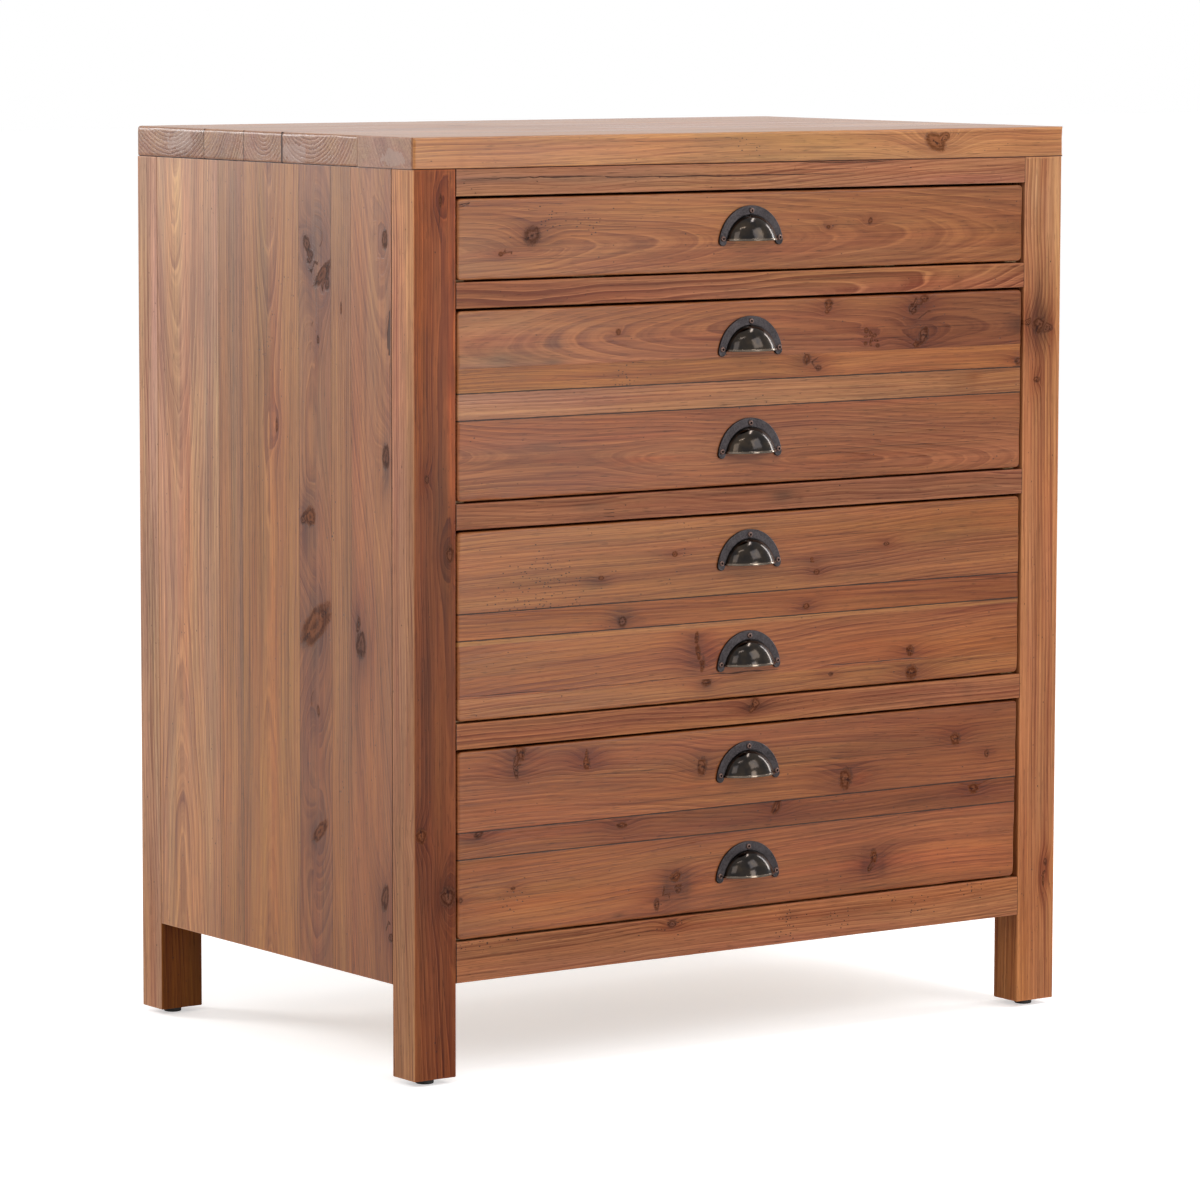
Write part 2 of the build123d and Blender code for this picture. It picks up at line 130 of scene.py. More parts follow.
class Board:
    """One board's mesh and what its wood needs: a worn, rounded box with grain running along one axis.

    lo, hi and every place are in millimetres. pith is the tree's middle line as (along, across, below the face).
    knots are (along, across, radius along, radius across, angle, kind from 0 for brown to 1 for grey); stains are
    (along, across, radius along, radius across, amount, warmth); holes are (along, across, radius) of worm-eaten
    spots; cracks are (along, across, along, across, half width); patches of filler are (x, y, z and three radii).
    face_colours_and_painted_light are other colours by face, as {(axis, side): colour}: the top's own colours at
    its ends and edges, and painted light and shade, paler on faces turned to the light and darker on faces turned in
    under the case or down under the top. floor_shade is painted shade: how much darker the colour gets towards the
    floor. edge has the radii round the low and the high face, and sides what they are multiplied by on the four
    sides between: under a half is a joint, not worn, and under 0.05 one without a glue line. buried are the faces,
    0 to 5, that lie on another layer. A glue of more than 1 makes the glue lines finer. narrow is how much the high
    end is drawn in at the lower edge.
    """

    def __init__(self, lo, hi, grain, thick, seed, pith, tint, face=-1, corner=(0, 0, 0, 0), edge=(1.0, 1.0),
                 sides=(1, 1, 1, 1), step=4.0, pitch=4.0, wander=5.0, face_colours_and_painted_light=None, knots=(), stains=(), holes=(),
                 cracks=(), narrow=0.0, glue=1.0, bold=1.0, patches=(), floor_shade=(0.0, 0.0, 0.0), buried=()):
        lo, hi = np.array(lo, float) / 1000, np.array(hi, float) / 1000
        corner, edge, step, wander, pitch = (np.array(x, float) / 1000 for x in (corner, edge, step, wander, pitch))
        a, b = [k for k in range(3) if k != thick]
        reach = max(corner.max(), edge.max()) * (1 + WEAR) + 0.0006
        step_of = [step] * 3
        step_of[grain] = step * 1.6
        p, self.quads = box_grid([lines(lo[k], hi[k], reach, step_of[k]) for k in range(3)])
        raw = p.copy()
        side = np.stack([p[:, a] - lo[a], hi[a] - p[:, a], p[:, b] - lo[b], hi[b] - p[:, b]], 1)
        nearest, s = side.argmin(1), side.min(1)
        factor = np.array(sides, float)[nearest]
        worn = 1 + WEAR * (0.7 * noise3(p, 0.035, seed) + 0.5 * noise3(p, 0.009, seed + 5))
        # the outline's corners
        high = (p[:, a] > (lo[a] + hi[a]) / 2).astype(int) + 2 * (p[:, b] > (lo[b] + hi[b]) / 2).astype(int)
        radius = corner[high]
        ca = np.clip(p[:, a], lo[a] + radius, hi[a] - radius)
        cb = np.clip(p[:, b], lo[b] + radius, hi[b] - radius)
        da, db = p[:, a] - ca, p[:, b] - cb
        both = (np.abs(da) > 1e-9) & (np.abs(db) > 1e-9)
        n = np.hypot(da, db) + 1e-12
        scale = np.where(both, np.maximum(np.abs(da), np.abs(db)) / n, 1)
        out = np.zeros((len(p), 2))
        for k, (ax, sign) in enumerate(((0, -1), (0, 1), (1, -1), (1, 1))):
            out[nearest == k, ax] = sign
        out[both] = np.stack([da / n, db / n], 1)[both]
        p[:, a], p[:, b] = ca + da * scale, cb + db * scale
        # the edges round the two faces
        for low_side, r0 in ((True, edge[0]), (False, edge[1])):
            r = r0 * factor * worn
            t = raw[:, thick] - lo[thick] if low_side else hi[thick] - raw[:, thick]
            m = (s < r) & (t < r)
            ra, rb = (r - s)[m], (r - t)[m]
            k = np.maximum(ra, rb) / (np.hypot(ra, rb) + 1e-12)
            s2, t2 = r[m] - ra * k, r[m] - rb * k
            p[m, a] += (s[m] - s2) * out[m, 0]
            p[m, b] += (s[m] - s2) * out[m, 1]
            p[m, thick] = lo[thick] + t2 if low_side else hi[thick] - t2
        across = b if a == grain else a
        deep = thick
        if thick == grain:
            across, deep = a, b
        u, v, w = raw[:, grain], raw[:, across], raw[:, deep]
        uvw = np.stack([u, v, w], 1)
        depth = w - lo[deep] if face < 0 else hi[deep] - w
        # a planed face is never quite flat
        flat = (depth < 1e-9) & (s > 0.004)
        swell = 0.5 + 0.5 * noise3(np.stack([u, v * 3, w * 0], 1), 0.07, seed + 8)
        p[flat, deep] -= face * swell[flat] * DIP
        if narrow:
            grow = np.clip((raw[:, a] - lo[a]) / (hi[a] - lo[a]), 0, 1)
            grow *= np.clip((TAPER_TOP - raw[:, b]) / TAPER_SPAN, 0, 1)
            p[:, a] -= narrow / 1000 * grow
        self.points = p
        rng = np.random.RandomState(seed)
        shift = rng.rand(3) * 7
        line = np.stack([u, np.zeros_like(u), np.zeros_like(u)], 1)
        wv = wander * (noise3(line, 0.31, seed + 11) + 0.5 * noise3(line, 0.12, seed + 12))
        ww = wander * (noise3(line, 0.27, seed + 13) + 0.5 * noise3(line, 0.1, seed + 14))
        pv, pw = path_at(pith, u)
        ring = np.hypot(v - pv - wv, depth + pw + ww)
        ring += 0.0011 * noise3(uvw, (0.1, 0.018, 0.018), seed + 15)
        ring += 0.0005 * noise3(uvw, (0.03, 0.008, 0.008), seed + 16)
        best, halo = np.full(len(p), FAR), np.zeros(len(p))
        self.knot, self.kind = np.tile([FAR, FAR, 0.0], (len(p), 1)), np.zeros(len(p))
        for ku, kv, ru, rv, turn, kind in knots:
            ru, rv = ru * KNOT_GROWTH, rv * KNOT_GROWTH
            c, sn = math.cos(math.radians(turn)), math.sin(math.radians(turn))
            du, dv = u - ku / 1000, v - kv / 1000
            x, y = (du * c + dv * sn) / ru * 1000, (dv * c - du * sn) / rv * 1000
            size = max(ru, rv) / 1000
            bulge = 0.9 * size * np.exp(-(du / (2.6 * size)) ** 2 - (dv / (1.5 * size)) ** 2)
            ring += bulge * np.sign(v - pv + 1e-6)
            d = np.hypot(x, y)
            m = d < best
            best[m] = d[m]
            keep = np.hypot(du, dv) < 1.9 * size + 1.6 * step_of[grain]
            tail = np.exp(-np.abs(du / (3.4 * size + 0.004)) ** 1.5 - (dv / (1.3 * size + 0.0015)) ** 2)
            halo += tail * min(1.0, size / 0.006 + 0.25)
            self.knot[m] = np.stack([x[m], y[m], keep[m].astype(float)], 1)
            self.kind[m] = kind
        halo *= np.exp(-depth / HALO_DEPTH)
        self.ring = ring / pitch
        self.grain = uvw + shift
        faces = np.stack([raw[:, 0] - lo[0], hi[0] - raw[:, 0], raw[:, 1] - lo[1], hi[1] - raw[:, 1],
                          raw[:, 2] - lo[2], hi[2] - raw[:, 2]], 1)
        inner = [(2 * a + k, sides[k]) for k in (0, 1)] + [(2 * b + k, sides[2 + k]) for k in (0, 1)]
        hidden = [k for k, factor in inner if factor < 0.5] + list(buried)
        glued = [k for k, factor in inner if 0.05 < factor < 0.5]
        self.seam = np.min(faces[:, glued], 1) * glue if glued else np.ones(len(p))
        far = faces.copy()
        far[:, hidden] += 1.0
        flush = faces.min(1)[:, None] == faces
        far[flush] = 0
        far.sort(1)
        self.edge = far[:, 1]
        self.crack, self.crack_half = np.full(len(p), 1.0), np.zeros(len(p))
        for u0, v0, u1, v1, half in cracks:
            f = (u - u0 / 1000) / ((u1 - u0) / 1000)
            width = half / 1000 * np.clip(4 * f * (1 - f), 0, 1) ** 0.5
            off = v - (v0 + (v1 - v0) * f) / 1000 + 0.0006 * noise3(line, 0.02, seed + 31)
            m = (np.abs(off) < np.abs(self.crack)) & (f > -0.03) & (f < 1.03)
            self.crack[m], self.crack_half[m] = off[m], width[m]
        self.holes = np.zeros(len(p))
        for hu, hv, hr in holes:
            d = np.hypot((u - hu / 1000) / 1.6, v - hv / 1000) / hr * 1000
            self.holes = np.maximum(self.holes, np.clip(1.6 - d, 0, 1))
        self.bold, self.patch = np.full(len(p), float(bold)), np.zeros(len(p))
        for x, y, z, rx, ry, rz in patches:
            d = np.sqrt((((raw * 1000 - (x, y, z)) / (rx, ry, rz)) ** 2).sum(1))
            self.patch = np.maximum(self.patch, np.clip(1.5 - d, 0, 1.5))
        colour = np.tile(np.array(tint, float), (len(p), 1))
        streaks = 1 + 0.6 * noise3(uvw, (0.03, 0.004, 0.004), seed + 43)
        colour *= np.exp(np.outer(-halo * streaks, (0.36, 0.62, 0.76)))
        # other colours by face, among them painted light and shade
        for (axis, sign), other in (face_colours_and_painted_light or {}).items():
            d = raw[:, axis] - lo[axis] if sign < 0 else hi[axis] - raw[:, axis]
            k = np.clip(1 - d / PAINT_DEPTH, 0, 1)[:, None]
            colour = colour * (1 - k) + np.array(other, float) * k
        for su, sv, ru, rv, amount, warmth in stains:
            ripple = 1 + 0.5 * noise3(uvw, (0.02, 0.006, 0.006), seed + 41)
            g = np.exp(-((u - su / 1000) / ru * 1000) ** 2 - ((v - sv / 1000) / rv * 1000) ** 2) * ripple
            k = np.exp(-amount * g)[:, None] * np.exp(np.outer(g * warmth, (0.10, -0.06, -0.22)))
            colour = colour * k
        # painted shade: darker, and more orange, towards the floor
        low = np.clip((FLOOR_SHADE_TOP - raw[:, Z]) / FLOOR_SHADE_SPAN, 0, 1)[:, None]
        self.tint = colour * (1 - low * np.array(floor_shade))


def put(mesh, material, body, node):
    """Make the mesh a piece that rides on the body, in the place of the node."""
    mesh.materials.append(material)
    piece = add_object(mesh.name, mesh)
    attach(piece, body)
    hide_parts(node)


def make_piece(node, boards, body, material):
    """One mesh object out of boards, with their wood attributes, in the place of that node."""
    points = np.concatenate([b.points for b in boards])
    quads, start = [], 0
    for b in boards:
        quads.append(b.quads + start)
        start += len(b.points)
    quads = np.concatenate(quads)
    mesh = bpy.data.meshes.new(node + "_wood")
    mesh.vertices.add(len(points))
    mesh.vertices.foreach_set("co", points.astype(np.float32).ravel())
    mesh.loops.add(quads.size)
    mesh.loops.foreach_set("vertex_index", quads.astype(np.int32).ravel())
    mesh.polygons.add(len(quads))
    mesh.polygons.foreach_set("loop_start", np.arange(0, quads.size, 4, dtype=np.int32))
    mesh.update(calc_edges=True)
    mesh.validate()
    mesh.polygons.foreach_set("use_smooth", np.ones(len(mesh.polygons), bool))
    for attribute in ("grain", "knot", "tint", "ring", "edge", "seam", "kind", "crack", "crack_half", "holes",
                      "bold", "patch"):
        values = np.concatenate([getattr(b, attribute) for b in boards]).astype(np.float32)
        kind, key = ("FLOAT_VECTOR", "vector") if values.ndim == 2 else ("FLOAT", "value")
        mesh.attributes.new(attribute, kind, "POINT").data.foreach_set(key, values.ravel())
    put(mesh, material, body, node)


# ---- node arithmetic


class Socket:
    """A node's output that can be used in arithmetic, so that a material reads like a formula."""

    def __init__(self, tree, out):
        self.tree, self.out = tree, out

    def op(self, kind, *others, clamp=False):
        node = self.tree.nodes.new("ShaderNodeMath")
        node.operation, node.use_clamp = kind, clamp
        for i, value in enumerate((self,) + others):
            feed(self.tree, node.inputs[i], value)
        return Socket(self.tree, node.outputs[0])

    def __add__(self, o): return self.op("ADD", o)
    def __radd__(self, o): return self.op("ADD", o)
    def __sub__(self, o): return self.op("SUBTRACT", o)
    def __rsub__(self, o): return Socket.constant(self.tree, o).op("SUBTRACT", self)
    def __mul__(self, o): return self.op("MULTIPLY", o)
    def __truediv__(self, o): return self.op("DIVIDE", o)
    def fract(self): return self.op("FRACT")
    def abs(self): return self.op("ABSOLUTE")
    def clamp(self): return self.op("ADD", 0.0, clamp=True)

    def step(self, a, b):
        """0 below a, 1 above b, smooth between; the other way round when a is above b."""
        node = self.tree.nodes.new("ShaderNodeMapRange")
        node.interpolation_type = "SMOOTHSTEP"
        feed(self.tree, node.inputs[0], self)
        lo, hi, x, y = (a, b, 0.0, 1.0) if a < b else (b, a, 1.0, 0.0)
        node.inputs[1].default_value, node.inputs[2].default_value = lo, hi
        node.inputs[3].default_value, node.inputs[4].default_value = x, y
        return Socket(self.tree, node.outputs[0])

    @staticmethod
    def constant(tree, value):
        node = tree.nodes.new("ShaderNodeValue")
        node.outputs[0].default_value = value
        return Socket(tree, node.outputs[0])


def feed(tree, sock, value):
    """Link a socket, or set a number or a colour."""
    if isinstance(value, Socket):
        tree.links.new(value.out, sock)
    elif hasattr(sock.default_value, "__len__"):
        sock.default_value = tuple(value) + (1.0,) * (len(sock.default_value) - len(value))
    else:
        sock.default_value = value


class Material:
    """A material with one principled shader, and the nodes that its formulas call for."""

    def __init__(self, name):
        self.material = bpy.data.materials.new(name)
        self.material.use_nodes = True
        self.tree = self.material.node_tree
        self.shader = next(n for n in self.tree.nodes if n.type == "BSDF_PRINCIPLED")

    def attribute(self, name, out="Fac"):
        node = self.tree.nodes.new("ShaderNodeAttribute")
        node.attribute_name = name
        return Socket(self.tree, node.outputs[out])

    def object_position(self):
        return Socket(self.tree, self.tree.nodes.new("ShaderNodeTexCoord").outputs["Object"])

    def split(self, vector):
        node = self.tree.nodes.new("ShaderNodeSeparateXYZ")
        feed(self.tree, node.inputs[0], vector)
        return [Socket(self.tree, o) for o in node.outputs]

    def join(self, x, y, z):
        node = self.tree.nodes.new("ShaderNodeCombineXYZ")
        for i, v in enumerate((x, y, z)):
            feed(self.tree, node.inputs[i], v)
        return Socket(self.tree, node.outputs[0])

    def scaled(self, vector, by):
        node = self.tree.nodes.new("ShaderNodeVectorMath")
        node.operation = "MULTIPLY"
        feed(self.tree, node.inputs[0], vector)
        feed(self.tree, node.inputs[1], by)
        return Socket(self.tree, node.outputs[0])

    def noise(self, vector, scale=1.0, detail=2.0, rough=0.5):
        node = self.tree.nodes.new("ShaderNodeTexNoise")
        feed(self.tree, node.inputs["Vector"], vector)
        node.inputs["Scale"].default_value = scale
        node.inputs["Detail"].default_value = detail
        node.inputs["Roughness"].default_value = rough
        return Socket(self.tree, node.outputs["Fac"])

    def mix(self, fac, a, b):
        node = self.tree.nodes.new("ShaderNodeMix")
        node.data_type = "RGBA"
        feed(self.tree, node.inputs[0], fac)
        feed(self.tree, node.inputs[6], a)
        feed(self.tree, node.inputs[7], b)
        return Socket(self.tree, node.outputs[2])

    def bump(self, height, distance, strength=1.0):
        node = self.tree.nodes.new("ShaderNodeBump")
        node.inputs["Strength"].default_value = strength
        node.inputs["Distance"].default_value = distance
        feed(self.tree, node.inputs["Height"], height)
        return Socket(self.tree, node.outputs[0])

    def set(self, **sockets):
        for name, value in sockets.items():
            feed(self.tree, self.shader.inputs[name.replace("_", " ")], value)
        return self.material


def wood(name, gloss=0.4, shine=0.25):
    """Stained pine, read from what each board's mesh carries."""
    m = Material(name)
    grain = m.attribute("grain", "Vector")
    u, v, w = m.split(grain)
    ring = m.attribute("ring")
    tint = m.attribute("tint", "Vector")
    seat = v * 0.37 + w * 0.21

    def rings_noise(across, along, detail, rough):
        return m.noise(m.join(ring * across, u * along, seat), 1.0, detail, rough) - 0.5

    def long_noise(along, across, detail=2.0, rough=0.6):
        """From 0 to 1, drawn out along the grain; features are one over these numbers long, in metres."""
        return m.noise(m.join(u * along, v * across, w * across), 1.0, detail, rough)

    def round_noise(scale, detail, rough):
        return m.noise(m.scaled(grain, (scale, scale, scale)), 1.0, detail, rough) - 0.5

    broad = rings_noise(0.2, 1.6, 2.0, 0.5)
    middle = rings_noise(0.8, 2.6, 2.0, 0.6)
    narrow = rings_noise(3.2, 5.0, 3.0, 0.65)
    streak = long_noise(3.0, 330.0, 3.0, 0.62) - 0.5
    fibre = long_noise(26.0, 950.0) - 0.5
    blotch = long_noise(6.0, 17.0, 3.0, 0.55) - 0.5
    wobble = long_noise(12.0, 90.0) - 0.5
    # a ring darkens through the year, ends at once, and takes less stain on the hard line beside it
    f = (ring + wobble * 0.28).fract()
    strength = (m.noise(m.join(ring * 0.31, u * 2.2, seat + 4.0), 1.0, 1.0) - 0.22) * 1.9
    strength = strength * m.attribute("bold")
    late = f.step(0.3, 0.92) * f.step(1.0, 0.95) * strength
    line = f.step(0.0, 0.03) * f.step(0.16, 0.05) * strength
    t = (0.39 + late * 0.42 + broad * 0.9 + middle * 0.8 + narrow * 1.25 + streak * 1.35 - line * 0.45).clamp()
    color = m.mix(t, (1.33, 1.42, 1.34), (0.58, 0.44, 0.42))
    color = m.scaled(color, tint)
    dash = long_noise(60.0, 1000.0, 1.0, 0.5).step(0.64, 0.7)
    thread = long_noise(4.5, 620.0, 1.0, 0.5).step(0.66, 0.74)
    shade = 1.0 + fibre * 0.7 + blotch * 0.45 - dash * 0.32 - thread * 0.34
    cloud = long_noise(2.4, 8.0) - 0.5
    shade = shade + cloud * 0.55
    warm = 1.0 + blotch * -0.25
    hue = long_noise(3.0, 46.0) - 0.5
    ochre = long_noise(1.7, 21.0) - 0.5
    blue = shade * warm * (1.0 + hue * 0.4 - ochre * 0.85)
    color = m.scaled(color, m.join(shade, shade * (1.0 + hue * 0.5), blue))
    # knots
    x, y, near = m.split(m.attribute("knot", "Vector"))
    crumb = round_noise(420.0, 3.0, 0.6)
    lumps = m.noise(m.join(x * 0.9, y * 0.9, seat * 3.0), 1.0, 2.0, 0.6) - 0.5
    kd = (x * x + y * y).op("SQRT") + (1.0 - near) * 8.0 + crumb * 0.35 + lumps * 1.1
    kind = m.attribute("kind")
    inside = kd.step(1.15, 0.75)
    rim = kd.step(0.62, 0.95) * kd.step(1.25, 1.0) * (crumb + lumps * 1.4).step(-0.1, 0.16)
    rings = (kd * 8.0 + lumps * 5.0 + crumb * 3.0).op("SINE") * 0.5 + 0.5
    heart = m.mix(rings, (0.06, 0.016, 0.006), (0.2, 0.066, 0.026))
    grey = m.mix(rings, (0.035, 0.014, 0.009), (0.14, 0.062, 0.042))
    heart = m.mix(kind, heart, grey)
    color = m.mix(inside * 0.72, color, heart)
    color = m.mix(rim * 0.5, color, (0.018, 0.006, 0.003))
    split_ = (y + lumps * 0.8).abs().step(0.16, 0.05) * kd.step(1.0, 0.7) * (crumb + lumps).step(-0.1, 0.05)
    color = m.mix(split_ * 0.8, color, (0.02, 0.01, 0.009))
    # worm holes and picked-out specks
    holes = m.attribute("holes")
    cells = m.tree.nodes.new("ShaderNodeTexVoronoi")
    cells.inputs["Scale"].default_value = 1.0
    feed(m.tree, cells.inputs["Vector"], m.join(u * 230.0, v * 420.0, w * 420.0))
    dot = Socket(m.tree, cells.outputs["Distance"])
    pick = m.split(Socket(m.tree, cells.outputs["Color"]))
    spot = dot.step(0.3, 0.18) * (pick[0] - holes * 0.62).step(0.02, 0.0)
    pore = dot.step(0.3, 0.15) * pick[1].step(0.992, 0.996)
    spot = spot.op("MAXIMUM", pore * 0.8)
    color = m.mix(spot * 0.9, color, (0.03, 0.014, 0.01))
    # filler rubbed into the end grain
    rag = round_noise(75.0, 4.0, 0.68)
    patch = m.attribute("patch")
    patch = (patch + rag * 3.0 * patch.step(0.0, 0.4)).step(0.55, 0.66)
    color = m.mix(patch * 0.55, color, (0.33, 0.21, 0.165))
    # worn edges, paler partly from wear and partly as a painted highlight where the rounded edges catch the light
    edge = m.attribute("edge")
    rub = m.noise(m.scaled(grain, (70.0, 230.0, 230.0)), 1.0, 3.0) - 0.5
    worn = (edge / 0.0019 + rub * 1.9).step(1.15, 0.35)
    color = m.mix(worn * 0.45, color, m.scaled(tint, (1.45, 1.5, 1.5)))
    # glue lines and joints
    seam = m.attribute("seam")
    gap = ((seam / 0.00095) + rub * 1.2).step(1.0, 0.45)
    color = m.mix(gap * 0.9, color, (0.022, 0.008, 0.005))
    # cracks
    crack, half = m.attribute("crack").abs(), m.attribute("crack_half")
    jag = long_noise(70.0, 15.0, 2.0, 0.5) * 1.7
    open_ = (crack / (half * jag + 0.00002)).step(1.0, 0.5) * half.step(0.00005, 0.00015)
    color = m.mix(open_ * 0.85, color, (0.04, 0.017, 0.014))
    rough = gloss + fibre * 0.14 + late * -0.05 + blotch * 0.16 + open_ * 0.3 + inside * -0.05
    height = late * -0.3 + fibre * 0.4 + inside * 0.15 - open_ * 3.0 - rim * 0.35 - spot * 0.7 + narrow * 0.4
    return m.set(Base_Color=color, Specular_IOR_Level=shine - inside * (shine * 0.75), Roughness=rough,
                 Normal=m.bump(height, 0.0003, 0.8))


WOOD = wood("stained_pine", 0.34)
WOOD_FRAME = wood("stained_pine_frame", 0.42, 0.13)
WOOD_SIDE = wood("stained_pine_side", 0.4, 0.42)
WOOD_TOP = wood("stained_pine_top", 0.33, 0.34)

# ---- the boards

SIDE_X, PANEL_X, LEG_X = 400, 384, 351.5  # outside of the case, inside of its side panels and of its legs
FRAME_Y, FRAME_BACK = -244, -206  # front and back of the front legs and rails
FACE, SIDE_LAP, FRONT_BACK = -243, 10, -221  # drawer fronts: face, how far it covers the sides' ends, and back
FRONT_X, BOX_X = 349, 334.9  # half widths of a drawer front and of what is between the drawer's sides
FRONT_CORNER = 5.0
SLAB_X, SLAB_Z, TOP_Z = 401, 881.5, 912
OWN_EDGE, GROOVE, FLUSH_JOINT = 1, 0.16, 0.02
FLUSH = (690.5, 372.5, 424)  # heights of the joints without a groove


def front(z0, z1, seed, low, high, narrow=0.0, **kw):
    """A plank of a drawer front, as its face layer and the narrower one behind it, between the drawer's sides.

    low and high say what is at its lower and upper edge: OWN_EDGE, GROOVE or FLUSH_JOINT.
    """
    c = [FRONT_CORNER if end == OWN_EDGE else 0 for end in (low, low, high, high)]
    kw["tint"] = tuple(0.85 * t for t in kw["tint"])
    behind = dict(kw, pith=tuple((u, v, w - SIDE_LAP) for u, v, w in kw["pith"]))
    middle, sides = FACE + SIDE_LAP, (1, 1, low, high)
    layers = [
        Board((-FRONT_X, FACE, z0), (FRONT_X, middle, z1), X, Y, corner=c, edge=(2.3, 0), sides=sides, seed=seed,
              narrow=narrow, buried=(3,), **kw),
        Board((-BOX_X, middle, z0), (BOX_X, FRONT_BACK, z1), X, Y, edge=(0, 1.0), sides=sides, seed=seed,
              buried=(2,), **behind),
    ]
    for layer in layers:
        # painted sheen and shade: paler and bluer to the left, where the light falls, a little darker to the right
        layer.tint *= 1 - np.outer(layer.points[:, X] / 0.35, (0.08, 0.12, 0.15))
    return layers


front_1 = [
    dict(z=(775.5, 853), tint=stain(152, 99, 70), pith=((-349, 803, 7), (-94, 805, 30), (349, 811, 58)), pitch=4.0,
        bold=0.9, wander=3.0,
        knots=((-262.7, 815.8, 8.5, 7.5, 20, 1.0), (-299, 799.3, 2.4, 2.0, 0, 0), (151, 820.7, 3.0, 2.2, 60, 0.6),
        (97.7, 816, 2.2, 1.6, 0, 0.4)),
        stains=((-250, 812, 22, 10, 0.2, -0.3), (330, 806, 30, 26, 0.25, 0.3), (60, 792, 60, 9, 0.08, 0.3)),
        holes=((-243.7, 832, 9), (-236, 825, 7), (-192, 827, 8), (-212, 824, 4), (-170, 788, 3)),
        cracks=((-349, 847.5, -330, 850, 0.7), (-349, 845, -334, 847, 0.4))),
]
front_2 = [
    dict(z=(563.5, 641), tint=stain(149, 95, 69),
        pith=((-349, 605, 9), (-200, 598, 17), (0, 590, 14), (349, 580, 30)), pitch=4.2, wander=6.0,
        stains=((-225, 599, 24, 5, -0.05, 0.9), (-120, 594, 50, 4, 0.05, 1.2), (140, 585, 70, 4, 0.12, 0.9),
        (-100, 618, 90, 6, -0.12, 0.4), (-245, 612, 18, 3, 0.35, -0.6))),
    dict(z=(641, 667), tint=stain(163, 113, 82), pith=((-349, 760, 60), (349, 745, 80)), pitch=3.2,
        stains=((287, 658, 9, 9, 0.28, 0.9), (268, 653, 18, 8, 0.2, 0.1))),
    dict(z=(667, 690.5), tint=stain(153, 99, 66), pith=((-349, 560, 40), (349, 570, 60)), pitch=3.6,
        knots=((71.7, 685, 5, 4, 80, 0.6), (86.3, 675.6, 3.4, 2.6, 0, 1.0), (345, 673, 4, 3.5, 0, 0.8)),
        stains=((66, 685, 16, 9, 0.4, -0.2), (-160, 680, 12, 8, 0.1, 0)), holes=((-150, 675, 9), (-145, 686, 5))),
    dict(z=(690.5, 746), tint=stain(145, 92, 66),
        pith=((-349, 716, 42), (-150, 715, 24), (60, 714, 12), (349, 716, 24)), pitch=4.4, wander=5.0,
        knots=((-160, 720, 2.6, 2.6, 0, 0.3), (206.8, 731, 5, 4.6, 30, 0.9), (221.6, 741, 5, 3.6, 0, 0.5),
        (99, 740.2, 4.6, 3.4, 0, 0.3), (96.7, 731.6, 2.4, 1.8, 0, 0.3), (221, 704, 5.0, 7.5, -20, 0.8),
        (211, 694.6, 3.2, 2.6, 0, 0.4), (158, 705.6, 2.2, 1.8, 0, 0.6), (147, 711, 2.8, 2.4, 0, 0.3),
        (161.6, 695.5, 2.4, 1.8, 0, 0.5), (146, 698, 2.2, 1.6, 0, 0.3)),
        stains=((-291, 695, 42, 10, 0.3, -0.9), (-236, 712, 12, 6, 0.3, -0.7), (-237, 694, 12, 3, 0.5, -0.6),
        (346, 710, 16, 7, 0.6, 0), (222, 712, 34, 26, 0.2, 0.3), (300, 715, 130, 60, 0.2, 0.2),
        (-300, 720, 120, 60, -0.28, -0.9))),
]
